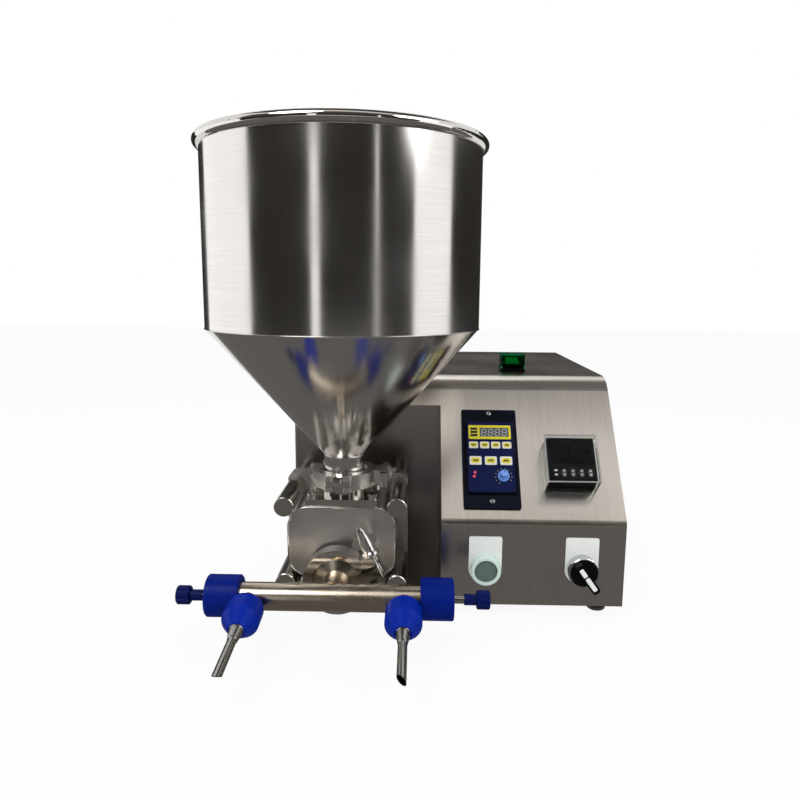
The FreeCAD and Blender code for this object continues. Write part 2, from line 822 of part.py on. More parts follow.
def make_hopper():
    rise = cone_top_z - cone_bottom_z
    run = hopper_radius - neck_radius
    slope = math.hypot(rise, run)
    lift = hopper_wall * slope / run
    inner = hopper_radius - hopper_wall
    bore = neck_radius - neck_wall
    face = neck_joint_z + gasket_thickness / 2
    rim = face + ferrule_rim
    slope_end = rim + (ferrule_radius - neck_radius) * math.tan(math.radians(ferrule_slope))
    outline = [(ferrule_radius, face), (ferrule_radius, rim), (neck_radius, slope_end),
               (neck_radius, cone_bottom_z), (hopper_radius, cone_top_z), (hopper_radius, rim_z),
               (inner, rim_z),
               (inner, cone_top_z - hopper_wall * rise / run + lift),
               (bore, cone_bottom_z - neck_wall * rise / run + lift),
               (bore, face)]
    shell = revolve([V(pump_x + r, hopper_y, z) for r, z in outline], V(pump_x, hopper_y, 0), Z)
    bead = Part.makeTorus(hopper_radius + 0.5, rim_bead, V(pump_x, hopper_y, rim_z), Z)
    return fuse(shell, bead)


# Manifold, caps, flow screws and nozzles

def make_manifold():
    left = left_cap_face + cap_end + seat_gap
    right = right_cap_face - cap_end - seat_gap
    pipe = rod(V(left, manifold_y, outlet_z), X, manifold_radius, right - left)
    stub = outlet_ferrule(-1, outlet_joint_y - manifold_y)
    bores = [rod(V(left - 1, manifold_y, outlet_z), X, manifold_radius - tube_wall, right - left + 2),
             rod(V(outlet_x, manifold_y, outlet_z), Y, outlet_bore, outlet_joint_y - manifold_y)]
    stubs = []
    for x in nozzle_x:
        axis = nozzle_axis()
        stubs.append(rod(V(x, manifold_y, outlet_z), axis, nozzle_stub_radius, nozzle_stub_reach))
        bores.append(rod(V(x, manifold_y, outlet_z), axis, nozzle_stub_radius - tube_wall,
                         nozzle_stub_reach + 1))
    body = fuse(pipe, stub, *stubs)
    for bore in bores:
        body = body.cut(bore)
    return body


def nozzle_axis():
    tilt = math.radians(nozzle_tilt)
    return V(0, -math.cos(tilt), -math.sin(tilt))


def make_end_caps():
    caps = []
    for face, inward in ((left_cap_face, 1), (right_cap_face, -1)):
        cap = rod(V(face, manifold_y, outlet_z), X * inward, cap_radius, cap_length)
        cap = cap.makeChamfer(1.0, [e for e in cap.Edges if e.BoundBox.XLength < 0.01])
        cap = cap.cut(rod(V(face + inward * cap_end, manifold_y, outlet_z), X * inward,
                          manifold_radius + 0.05,
                          cap_length))
        caps.append(cap.cut(rod(V(face, manifold_y, outlet_z) - X * inward, X * inward,
                                flow_screw_radius + running_clearance, cap_length)))
    return caps


def flow_screw(face, inward, gap):
    start = face - inward * (gap + 0.6 * knob_neck_length)
    shank = rod(V(start, manifold_y, outlet_z), X * inward, flow_screw_radius,
                gap + 0.6 * knob_neck_length + flow_screw_tip)
    plug = rod(V(face + inward * flow_screw_tip, manifold_y, outlet_z), X * inward, 0.7 * manifold_radius,
               6.0)
    return fuse(shank, plug)


def flow_knob(face, inward, gap):
    start = face - inward * gap
    neck = rod(V(start, manifold_y, outlet_z), X * -inward, knob_neck_radius, knob_neck_length)
    head_start = V(start - inward * knob_neck_length, manifold_y, outlet_z)
    head = rod(head_start, X * -inward, knob_head_radius, knob_head_length)
    head = head.makeChamfer(1.0, [e for e in head.Edges if e.BoundBox.XLength < 0.01])
    knob = fuse(neck, head)
    for i in range(8):
        turn = math.pi * i / 4
        at = head_start + V(inward, 1.12 * knob_head_radius * math.cos(turn),
                            1.12 * knob_head_radius * math.sin(turn))
        knob = knob.cut(rod(at, X * -inward, 0.22 * knob_head_radius, knob_head_length + 3))
    bore = 0.6 * knob_neck_length
    return knob.cut(rod(V(start, manifold_y, outlet_z) + X * inward, X * -inward,
                        flow_screw_radius + running_clearance,
                        bore + 1.0 + 0.3))


def make_nozzle_nuts():
    nuts = []
    barrel_end = nut_start + nut_barrel
    exit_s = barrel_end + nut_cone
    seat = nozzle_stub_reach + needle_collar + 0.4
    outline = [(nozzle_stub_radius + 0.3, nut_start), (nut_radius - 2, nut_start),
               (nut_radius - 0.5, nut_start + 0.7),
               (nut_radius, nut_start + 2.5), (nut_radius, barrel_end), (nut_radius - 0.8, barrel_end + 1.2),
               (nut_mouth_radius, exit_s), (ferrule_nose_radius + 0.2, exit_s),
               (ferrule_nose_radius + 0.2, seat),
               (nozzle_stub_radius + 0.3, seat)]
    for x in nozzle_x:
        nut = revolve([V(r, 0, s) for r, s in outline], V(0, 0, 0), Z)
        nuts.append(aimed(nut, V(x, manifold_y, outlet_z), nozzle_axis()))
    return nuts


def make_needles():
    needles = []
    collar = nozzle_stub_reach + 0.1
    exit_s = nut_start + nut_barrel + nut_cone
    tip = exit_s + needle_length
    nose = exit_s + ferrule_nose_length
    bore = needle_radius - needle_wall
    outline = [(bore, collar), (nozzle_stub_radius, collar), (nozzle_stub_radius, collar + needle_collar),
               (ferrule_nose_radius, collar + needle_collar), (ferrule_nose_radius, exit_s),
               (needle_radius + 0.4, nose), (needle_radius, nose + 1.0), (needle_radius, tip), (bore, tip)]
    for x, roll in zip(nozzle_x, needle_rolls):
        needle = revolve([V(r, 0, s) for r, s in outline], V(0, 0, 0), Z)
        reach = 2 * needle_radius
        bevel = extrude([V(-reach, -reach, tip - needle_bevel), V(reach, -reach, tip),
                         V(reach, -reach, tip + 5),
                         V(-reach, -reach, tip + 5)], V(0, 2 * reach, 0))
        bevel.rotate(V(0, 0, 0), Z, roll)
        needles.append(aimed(needle.cut(bevel), V(x, manifold_y, outlet_z), nozzle_axis()))
    return needles


# Control panel pieces

def panel_block(x, s, width, height, low, high, radius=0.0):
    shape = block(x - width / 2, x + width / 2, s - height / 2, s + height / 2, low, high)
    return rounded_edges(shape, Z, radius) if radius else shape


def make_speed_controller():
    plate = panel_block(controller_x, controller_s, controller_width, controller_height, 0,
                        controller_plate, 1.5)
    fascia_top = controller_plate + fascia_rise
    fascia = panel_block(controller_x, controller_s, fascia_width, fascia_height, 0, fascia_top, 2.0)
    fascia = fascia.makeChamfer(0.8, [e for e in fascia.Edges if e.BoundBox.ZMin > fascia_top - 0.01])
    case = panel_block(controller_x, controller_s, fascia_width - 1, fascia_height - 1,
                       -controller_case_depth, 0, 2.0)
    body = fuse(plate, fascia, case)
    return on_slant(body.cut(rod(V(dial_x, dial_s, -5), Z, 2.5, 30)))


def make_controller_keypad():
    # One moulded overlay: the display frame and the seven pads
    top = controller_plate + fascia_rise
    sheet_part = panel_block(controller_x, controller_s + 14.0, fascia_width - 5, fascia_height - 34.0, top,
                             top + 0.4, 1.5)
    frame = panel_block(controller_x, display_s, 42.0, 14.0, top, top + 0.9, 0.8)
    window = panel_block(controller_x + 4.5, display_s, 30.0, 10.0, top + 0.5, top + 3)
    pads = [frame.cut(window)]
    for count, s, width, height, pitch in ((4, upper_keys_s, 9.0, 6.6, 11.3),
                                           (3, lower_keys_s, 12.0, 9.0, 15.4)):
        for i in range(count):
            x = controller_x + (i - 0.5 * (count - 1)) * pitch
            pads.append(panel_block(x, s, width, height, top, top + 0.9, 1.2))
    return on_slant(fuse(sheet_part, *pads))


def make_speed_dial():
    top = controller_plate + fascia_rise
    skirt = rod(V(dial_x, dial_s, top + 0.3), Z, 1.45 * dial_radius, 1.4)
    grip = Part.makeCone(dial_radius, 0.86 * dial_radius, dial_height - 1.4, V(dial_x, dial_s, top + 1.7))
    shaft = rod(V(dial_x, dial_s, -4), Z, 2.5 - running_clearance, top + 5)
    return on_slant(fuse(skirt, grip, shaft))


def make_timer():
    bezel = panel_block(timer_x, timer_s, timer_size, timer_size, 0, timer_rise, 1.5)
    bezel = bezel.cut(panel_block(timer_x, timer_s + 5.0, timer_size - 8, timer_size - 18, timer_rise - 1.0,
                                  40, 1.0))
    case = panel_block(timer_x, timer_s, timer_case_size, timer_case_size, -timer_case_depth, 0)
    keys = []
    for i in range(4):
        x = timer_x + (i - 1.0) * timer_key_pitch
        keys.append(panel_block(x, timer_s - timer_key_drop, 3.6, 7.0, timer_rise - 1, timer_rise + 1.2, 1.6))
    return on_slant(fuse(bezel, case, *keys))


def make_timer_cover():
    outer = panel_block(timer_x, timer_s, timer_cover_size, timer_cover_size, 0.1, timer_cover_rise, 2.0)
    inner = panel_block(timer_x, timer_s, timer_size + 0.6, timer_size + 0.6, -1, timer_cover_rise - 1.5, 1.0)
    return on_slant(outer.cut(inner))


def button_body(x, mouth_radius):
    at = V(x, 0, button_z)
    ring = rod(at - Y * bezel_rise, Y, bezel_radius, bezel_rise)
    ring = ring.makeFillet(1.5, [e for e in ring.Edges if e.BoundBox.YMax < 0.1 - bezel_rise])
    ring = ring.cut(rod(at - Y * (bezel_rise + 1), Y, mouth_radius, bezel_rise - 1.0 + 1))
    barrel = rod(at - Y * 1.0, Y, button_hole_radius, button_barrel + 1.0)
    block_half = 14.0
    contacts = block(x - block_half, x + block_half, button_barrel, button_barrel + 26, button_z - block_half,
                     button_z + block_half)
    body = fuse(ring, barrel, contacts)
    return body.cut(rod(at - Y * 5, Y, lens_stem_radius + 0.3, button_barrel + 3))


def make_start_button_body():
    return button_body(start_x, lens_radius + 0.35)


def make_start_lens():
    at = V(start_x, 0, button_z)
    head = rod(at - Y * (bezel_rise - 1.5), Y, lens_radius, 4.0)
    head = head.makeChamfer(0.8, [e for e in head.Edges if e.BoundBox.YMax < 2.0 - bezel_rise])
    return fuse(head, rod(at - Y * (bezel_rise - 4.0), Y, lens_stem_radius, 14.0))


def make_selector_body():
    return button_body(selector_x, selector_face_radius + 0.35)


def make_selector_lever():
    at = V(selector_x, 0, button_z)
    face = rod(at - Y * (bezel_rise + seat_gap), Y, selector_face_radius, 8.0)
    stem = rod(at - Y * (bezel_rise - 4.0), Y, lens_stem_radius, 18.0)
    front = -bezel_rise - lever_rise
    back = -bezel_rise - seat_gap
    grip = rounded_block(-lever_width / 2, lever_width / 2, front, back, -lever_length * 0.58,
                         lever_length * 0.42, Y, 2.5)
    taper = extrude([V(-lever_width, front - 1, -lever_length), V(-lever_width / 2, front - 1, -lever_length),
                     V(-lever_width / 2 - 0.1, 3 - bezel_rise, -lever_length),
                     V(-lever_width, 3 - bezel_rise, -lever_length)],
                    V(0, 0, 2 * lever_length))
    grip = grip.cut(taper)
    grip.rotate(V(0, 0, 0), Y, -lever_turn)
    grip.translate(V(selector_x, 0, button_z))
    return fuse(face, stem, grip)


def make_power_switch_body():
    flange = rounded_block(switch_x - switch_width / 2, switch_x + switch_width / 2,
                           switch_y - switch_depth / 2,
                           switch_y + switch_depth / 2, housing_height, housing_height + 4.0, Z, 1.5)
    tub = block(switch_x - switch_hole_width / 2 + seat_gap, switch_x + switch_hole_width / 2 - seat_gap,
                switch_y - switch_hole_depth / 2 + seat_gap, switch_y + switch_hole_depth / 2 - seat_gap,
                housing_height - switch_body_depth, housing_height + 9.0)
    half = rocker_width / 2 + 0.5
    room = rocker_depth / 2 + 1.2
    body = fuse(flange, tub).cut(block(switch_x - half, switch_x + half, switch_y - room, switch_y + room,
                                       rocker_pivot_z - 4.0, housing_height + switch_rise))
    pin_half = rocker_width / 2 + rocker_pin_reach + 0.1
    return body.cut(rod(V(switch_x - pin_half, switch_y, rocker_pivot_z), X,
                        rocker_pin_radius + running_clearance,
                        2 * pin_half))


def make_power_rocker():
    half = rocker_depth / 2
    low, mid, high = rocker_pivot_z - 2.0, rocker_pivot_z + 4.0, rocker_pivot_z + 7.0
    outline = [V(0, -half, low), V(0, half, low), V(0, half, high), V(0, 0, mid), V(0, -half, high)]
    rocker = extrude(outline, V(rocker_width, 0, 0))
    rocker.translate(V(switch_x - rocker_width / 2, switch_y, 0))
    pin_half = rocker_width / 2 + rocker_pin_reach
    pin = rod(V(switch_x - pin_half, switch_y, rocker_pivot_z), X, rocker_pin_radius, 2 * pin_half)
    rocker = fuse(rocker, pin)
    rocker.rotate(V(switch_x, switch_y, rocker_pivot_z), X, rocker_tilt)
    return rocker


def make_power_switch_cover():
    width, depth = switch_width - 0.8, switch_depth - 0.8
    outer = rounded_block(switch_x - width / 2, switch_x + width / 2, switch_y - depth / 2,
                          switch_y + depth / 2,
                          housing_height + 4.1, housing_height + switch_rise, Z, 2.0)
    inner = block(switch_x - width / 2 + 1.2, switch_x + width / 2 - 1.2, switch_y - depth / 2 + 1.2,
                  switch_y + depth / 2 - 1.2, housing_height, housing_height + switch_rise - 1.2)
    return outer.cut(inner)


def make_power_gland():
    at = V(gland_x, housing_depth, gland_z)
    body = rod(at - Y * 12, Y, gland_radius, 14)
    hexes = []
    for start, length, radius in ((0.0, 5.0, 13.0), (7.0, 11.0, 12.5), (-6.5, 5.0, 13.0)):
        points = [at + V(radius * math.cos(a * math.pi / 3), start, radius * math.sin(a * math.pi / 3))
                  for a in range(6)]
        hexes.append(extrude(points, V(0, length, 0)))
    dome = Part.makeCone(11.0, 8.0, 6.0, at + Y * 18, Y)
    neck = rod(at, Y, gland_radius, 8.0)
    return fuse(body, neck, dome, *hexes).cut(rod(at - Y * 20, Y, gland_bore, 60))


segments_in = clamp_segments(inlet_lug_angle, inlet_link_angles)
segments_out = clamp_segments(outlet_lug_angle, outlet_link_angles)

nodes = {
    "base_pan": make_base_pan(),
    "control_cover": make_control_cover(),
    "drive_cover": make_drive_cover(),
    "right_side_panel": make_right_side_panel(),
    "left_side_panel": make_left_side_panel(),
    "control_box_side": make_control_box_side(),
    "recess_wall": make_recess_wall(),
    "rear_panel": make_rear_panel(),
    "rear_screws": make_rear_screws(),
    "rubber_feet": make_rubber_feet(),
    "foot_screws": make_foot_screws(),
    "gearbox": make_gearbox(),
    "drive_motor": make_drive_motor(),
    "power_gland": make_power_gland(),
    "post_spacers": make_post_spacers(),
    "tie_studs": make_tie_studs(),
    "round_nuts": make_round_nuts(),
    "pump_back_plate": make_back_plate(),
    "pump_body": make_pump_body(),
    "body_bolts": make_body_bolts(),
    "rotor_bushes": make_rotor_bushes(),
    "shaft_seal": make_shaft_seal(),
    "chamber_seal": make_chamber_seal(),
    "drive_gear": make_drive_gear(),
    "idler_gear": make_idler_gear(),
    "inlet_flange": make_inlet_flange(),
    "flange_screws": make_flange_screws(),
    "clamp_gaskets": make_clamp_gaskets(),
    "hopper": make_hopper(),
    "inlet_clamp_back": at_inlet(segments_in[0]),
    "inlet_clamp_left": at_inlet(segments_in[1]),
    "inlet_clamp_front": at_inlet(segments_in[2]),
    "inlet_clamp_links": [at_inlet(clamp_link(angle)) for angle in inlet_link_angles],
    "inlet_clamp_bolt": at_inlet(clamp_bolt(inlet_lug_angle)),
    "inlet_wing_nut": at_inlet(wing_nut(inlet_lug_angle, inlet_wing_roll)),
    "outlet_clamp_upper": at_outlet(segments_out[0]),
    "outlet_clamp_lower": at_outlet(segments_out[1]),
    "outlet_clamp_link": [at_outlet(clamp_link(angle)) for angle in outlet_link_angles],
    "outlet_clamp_bolt": at_outlet(clamp_bolt(outlet_lug_angle)),
    "outlet_wing_nut": at_outlet(wing_nut(outlet_lug_angle, outlet_wing_roll)),
    "manifold": make_manifold(),
    "end_caps": make_end_caps(),
    "left_flow_screw": flow_screw(left_cap_face, 1, knob_gap_left),
    "right_flow_screw": flow_screw(right_cap_face, -1, knob_gap_right),
    "left_flow_knob": flow_knob(left_cap_face, 1, knob_gap_left),
    "right_flow_knob": flow_knob(right_cap_face, -1, knob_gap_right),
    "nozzle_nuts": make_nozzle_nuts(),
    "needles": make_needles(),
    "speed_controller": make_speed_controller(),
    "controller_keypad": make_controller_keypad(),
    "speed_dial": make_speed_dial(),
    "timer": make_timer(),
    "timer_cover": make_timer_cover(),
    "start_button_body": make_start_button_body(),
    "start_lens": make_start_lens(),
    "selector_body": make_selector_body(),
    "selector_lever": make_selector_lever(),
    "power_switch_body": make_power_switch_body(),
    "power_rocker": make_power_rocker(),
    "power_switch_cover": make_power_switch_cover(),
}

shapes = {name: Part.makeCompound(made) if isinstance(made, list) else made for name, made in nodes.items()}
whole = Part.makeCompound(list(shapes.values())).optimalBoundingBox(False, False)
origin = V(whole.Center.x, whole.Center.y, -foot_height)

os.makedirs("parts", exist_ok=True)
for name, shape in shapes.items():
    shape.translate(origin * -1)
    shape.exportStep("parts/" + name + ".step")
print("nodes", len(shapes), "origin", [round(v, 4) for v in origin])
print("size", round(whole.XLength, 1), round(whole.YLength, 1), round(whole.ZLength, 1))
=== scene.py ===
import math

import bmesh
import bpy
from mathutils import Matrix, Vector


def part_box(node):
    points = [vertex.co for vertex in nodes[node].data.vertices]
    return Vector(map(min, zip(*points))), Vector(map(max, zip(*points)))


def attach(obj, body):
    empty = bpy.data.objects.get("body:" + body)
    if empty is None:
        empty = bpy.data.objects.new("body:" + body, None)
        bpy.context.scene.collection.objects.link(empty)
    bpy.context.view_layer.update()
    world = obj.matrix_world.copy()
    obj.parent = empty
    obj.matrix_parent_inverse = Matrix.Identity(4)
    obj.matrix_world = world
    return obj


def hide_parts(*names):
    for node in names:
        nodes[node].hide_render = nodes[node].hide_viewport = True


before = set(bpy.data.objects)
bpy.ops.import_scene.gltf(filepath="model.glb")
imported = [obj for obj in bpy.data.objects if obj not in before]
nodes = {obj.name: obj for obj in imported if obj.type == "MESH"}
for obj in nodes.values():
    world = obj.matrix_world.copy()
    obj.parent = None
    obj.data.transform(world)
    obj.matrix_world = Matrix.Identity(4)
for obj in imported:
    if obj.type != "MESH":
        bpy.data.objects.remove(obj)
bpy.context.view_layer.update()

# Donut filler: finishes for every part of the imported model, and the small pieces that dress it.
# Sizes are in millimetres, measured from the control box's lower front left corner.
controlBox = {"width": 180.0, "frontHeight": 85.0, "slantRise": 130.0, "slantRun": 105.0, "feet": 13.0}

sideLow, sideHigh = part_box("right_side_panel")
machineCorner = Vector((sideHigh.x - controlBox["width"] / 1000, sideLow.y, sideLow.z))
slantAngle = math.atan2(controlBox["slantRise"], controlBox["slantRun"])


def place(x, y, z):
    return machineCorner + Vector((x, y, z)) / 1000


def shift(x, y, z=0.0):
    return Matrix.Translation((x, y, z))


def turned(angle, axis):
    return Matrix.Rotation(angle, 4, axis)


def stretched(x, y, z):
    return Matrix.Diagonal((x, y, z, 1))


mm = Matrix.Scale(0.001, 4)
# local axes on the slanted panel and on the front panel: across, up, and out of the sheet
onSlant = Matrix.Translation(place(0, 0, controlBox["frontHeight"])) @ turned(slantAngle, "X") @ mm
onFront = Matrix.Translation(place(0, 0, 0)) @ turned(math.pi / 2, "X") @ mm
inRoom = Matrix.Translation(place(0, 0, 0)) @ mm
print("frame loaded:", len(nodes), "parts")


def colour(code):
    # sRGB hex to the linear values that the shader wants
    values = [int(code[i:i + 2], 16) / 255 for i in (1, 3, 5)]
    return [v / 12.92 if v <= 0.04045 else ((v + 0.055) / 1.055) ** 2.4 for v in values] + [1.0]


def shaded(base, factor):
    return [min(1.0, factor * v) for v in base[:3]] + [1.0]


def addNode(tree, kind, values=None, links=None, **settings):
    node = tree.nodes.new(kind)
    for key, value in settings.items():
        setattr(node, key, value)
    for socket, value in (values or {}).items():
        node.inputs[socket].default_value = value
    for socket, source in (links or {}).items():
        tree.links.new(source, node.inputs[socket])
    return node


def startMaterial(name, **shader):
    material = bpy.data.materials.new(name)
    material.use_nodes = True
    tree = material.node_tree
    tree.nodes.clear()
    surface = addNode(tree, "ShaderNodeBsdfPrincipled", shader)
    surface.location = (300, 0)
    output = addNode(tree, "ShaderNodeOutputMaterial", links={"Surface": surface.outputs[0]})
    output.location = (600, 0)
    return material, tree, surface


def outputOf(tree):
    return next(n for n in tree.nodes if n.type == "OUTPUT_MATERIAL").inputs["Surface"]


def toSurface(tree, surface, **sources):
    for socket, source in sources.items():
        tree.links.new(source, surface.inputs[socket.replace("_", " ")])


def objectPlace(tree):
    return addNode(tree, "ShaderNodeTexCoord").outputs["Object"]


def noise(tree, where, scale, detail, roughness=0.5):
    return addNode(tree, "ShaderNodeTexNoise", {"Scale": scale, "Detail": detail, "Roughness": roughness},
                   {"Vector": where}).outputs["Fac"]


def lined(tree, where, quick, slow, fast, detail, roughness=0.5):
    # noise drawn out into lines: quick across the axes named in fast, slow along the others
    scale = [quick if axis in fast else slow for axis in "xyz"]
    drawn = addNode(tree, "ShaderNodeMapping", {"Scale": scale}, {"Vector": where}).outputs[0]
    return noise(tree, drawn, 1.0, detail, roughness)


def ranged(tree, value, span, out):
    # values over span become values over out, and stay within them
    limits = {"From Min": span[0], "From Max": span[1], "To Min": out[0], "To Max": out[1]}
    return addNode(tree, "ShaderNodeMapRange", limits, {"Value": value}).outputs[0]


def bumped(tree, height, strength, depthMm):
    return addNode(tree, "ShaderNodeBump", {"Strength": strength, "Distance": depthMm / 1000},
                   {"Height": height}).outputs[0]


def blendTones(tree, value, dark, light):
    return addNode(tree, "ShaderNodeMix", {6: colour(dark), 7: colour(light)}, {0: value},
                   data_type="RGBA").outputs[2]


def rampTones(tree, value, dark, light, span=(0.0, 1.0)):
    ramp = addNode(tree, "ShaderNodeValToRGB", links={"Fac": value})
    for element, position, tone in zip(ramp.color_ramp.elements, span, (dark, light)):
        element.position = position
        element.color = tone
    return ramp.outputs[0]


noiseSpan = (0.3, 0.7)     # noise seldom leaves this range

brushed = {
    "colour": "#DCD5CD", "dark": "#C4BDB5",
    "grainMm": 0.9,        # real grain is 0.1 to 0.2 mm; drawn coarser so that it shows
    "grainLongMm": 70.0,
    "grainDetail": 2.0, "grainRoughness": 0.6,
    "smearPerMetre": 14.0, "smearDetail": 1.0, "smearRoughness": 0.4,    # hand marks, some 70 mm across
    "roughness": (0.23, 0.27),
    "bump": 0.2, "bumpMm": 0.012,
    "polishOver": 0.001, "polish": 0.35,     # over how many metres, and how far, a rim gets smoother
}


def brushedSteel(name, fast, polishAbove=None, **changes):
    # 304 sheet, brushed with a belt: fine straight lines that smear reflections across the grain
    setup = {**brushed, **changes}
    material, tree, surface = startMaterial(name, Metallic=1.0)
    where = objectPlace(tree)
    grain = lined(tree, where, 1000 / setup["grainMm"], 1000 / setup["grainLongMm"], fast,
                  setup["grainDetail"], setup["grainRoughness"])
    smear = noise(tree, where, setup["smearPerMetre"], setup["smearDetail"], setup["smearRoughness"])
    rough = ranged(tree, smear, noiseSpan, setup["roughness"])
    if polishAbove is not None:
        height = addNode(tree, "ShaderNodeSeparateXYZ", links={"Vector": where}).outputs["Z"]
        mask = ranged(tree, height, (polishAbove, polishAbove + setup["polishOver"]), (1.0, setup["polish"]))
        rough = addNode(tree, "ShaderNodeMath", links={0: rough, 1: mask}, operation="MULTIPLY").outputs[0]
    toSurface(tree, surface, Base_Color=blendTones(tree, grain, setup["dark"], setup["colour"]),
              Roughness=rough, Normal=bumped(tree, grain, setup["bump"], setup["bumpMm"]))
    return material


polished = {
    "colour": "#D6D2CB", "darkShare": 0.86, "toneSpan": (0.3, 1.0),
    "roughness": (0.10, 0.20), "hazeSpan": (0.35, 0.7),
    "hazePerMetre": 60.0, "hazeDetail": 4.0,
    "poresPerMetre": 900.0, "poresDetail": 2.0, "bump": 0.25, "bumpMm": 0.01,
}


def polishedSteel(name, **changes):
    # 304 castings and turned parts, buffed: mirror-like with a soft haze and tiny ripples
    setup = {**polished, **changes}
    material, tree, surface = startMaterial(name, Metallic=1.0)
    where = objectPlace(tree)
    haze = noise(tree, where, setup["hazePerMetre"], setup["hazeDetail"])
    pores = noise(tree, where, setup["poresPerMetre"], setup["poresDetail"])
    base = colour(setup["colour"])
    toSurface(tree, surface,
              Base_Color=rampTones(tree, haze, shaded(base, setup["darkShare"]), base, setup["toneSpan"]),
              Roughness=ranged(tree, haze, setup["hazeSpan"], setup["roughness"]),
              Normal=bumped(tree, pores, setup["bump"], setup["bumpMm"]))
    return material


lathe = {
    "colour": "#D2CEC7", "dark": "#B3AFA8", "pitchMm": 0.8, "alongPerMetre": 6.0, "lineDetail": 1.0,
    "roughness": (0.14, 0.24), "hazePerMetre": 45.0, "hazeDetail": 3.0, "bump": 0.3, "bumpMm": 0.008,
}


def turnedSteel(name, across, **changes):
    # machined on a lathe or mill: faint tool lines that follow the cut
    setup = {**lathe, **changes}
    material, tree, surface = startMaterial(name, Metallic=1.0)
    where = objectPlace(tree)
    lines = lined(tree, where, 1000 / setup["pitchMm"], setup["alongPerMetre"], across, setup["lineDetail"])
    haze = noise(tree, where, setup["hazePerMetre"], setup["hazeDetail"])
    toSurface(tree, surface, Base_Color=blendTones(tree, lines, setup["dark"], setup["colour"]),
              Roughness=ranged(tree, haze, noiseSpan, setup["roughness"]),
              Normal=bumped(tree, lines, setup["bump"], setup["bumpMm"]))
    return material


cast = {"gritPerMetre": 700.0, "gritMm": 0.06, "bump": 0.4, "wearPerMetre": 30.0, "detail": 3.0,
        "tones": (0.8, 1.08), "roughBy": 0.07}


def castMetal(name, code, roughness, metallic, **changes):
    # sand or die castings and painted cans: an even pebbled skin
    setup = {**cast, **changes}
    material, tree, surface = startMaterial(name, Metallic=metallic)
    where = objectPlace(tree)
    grit = noise(tree, where, setup["gritPerMetre"], setup["detail"])
    wear = noise(tree, where, setup["wearPerMetre"], setup["detail"])
    dark, light = (shaded(colour(code), share) for share in setup["tones"])
    gloss = (roughness - setup["roughBy"], roughness + setup["roughBy"])
    toSurface(tree, surface, Base_Color=rampTones(tree, wear, dark, light),
              Roughness=ranged(tree, wear, (0.0, 1.0), gloss),
              Normal=bumped(tree, grit, setup["bump"], setup["gritMm"]))
    return material


moulded = {"hazePerMetre": 55.0, "hazeDetail": 3.0, "hazeRoughness": 0.6, "toneSpan": (0.25, 0.75),
           "smoother": 0.06, "rougher": 0.08, "smoothest": 0.03, "skinDetail": 2.0, "bump": 0.3, "ior": 1.5}


def plastic(name, code, roughness, skinPerMetre=1400.0, skinMm=0.03, wear=0.12, **shader):
    # moulded or machined plastic: a fine skin texture, and cleaning haze that changes the gloss a little
    material, tree, surface = startMaterial(name, **{"IOR": moulded["ior"], **shader})
    where = objectPlace(tree)
    skin = noise(tree, where, skinPerMetre, moulded["skinDetail"])
    haze = noise(tree, where, moulded["hazePerMetre"], moulded["hazeDetail"], moulded["hazeRoughness"])
    gloss = (max(moulded["smoothest"], roughness - moulded["smoother"]), roughness + moulded["rougher"])
    dark, light = (shaded(colour(code), share) for share in (1 - wear, 1 + wear))
    toSurface(tree, surface, Base_Color=rampTones(tree, haze, dark, light, moulded["toneSpan"]),
              Roughness=ranged(tree, haze, noiseSpan, gloss),
              Normal=bumped(tree, skin, moulded["bump"], skinMm))
    return material


clearCover = {"ior": 1.06, "dustPerMetre": 400.0, "dustDetail": 4.0, "dustSpan": (0.45, 0.75),
              "dustRough": 0.03, "dustTone": 0.93}


def clearPlastic(name, code="#FAFDFD", roughness=0.02):
    # polycarbonate cover: clear, a little dust and fine scratches in the gloss
    material, tree, surface = startMaterial(name, **{"IOR": clearCover["ior"], "Transmission Weight": 1.0})
    dust = noise(tree, objectPlace(tree), clearCover["dustPerMetre"], clearCover["dustDetail"])
    base = colour(code)
    gloss = (roughness, roughness + clearCover["dustRough"])
    toSurface(tree, surface, Base_Color=rampTones(tree, dust, base, shaded(base, clearCover["dustTone"])),
              Roughness=ranged(tree, dust, clearCover["dustSpan"], gloss))
    return material


def lampPlastic(name, code, glow, strength, roughness=0.18, wear=0.08):
    # tinted lens with a lamp behind it
    lamp = {"Emission Color": colour(glow), "Emission Strength": strength}
    return plastic(name, code, roughness, wear=wear, **lamp)


dull = {"Specular IOR Level": 0.07}     # the photograph shows these plastics with little gloss of their own
nylon = {"skinPerMetre": 1500.0, "wear": 0.10, **dull}
printed = {"skinPerMetre": 1800.0, "skinMm": 0.01}

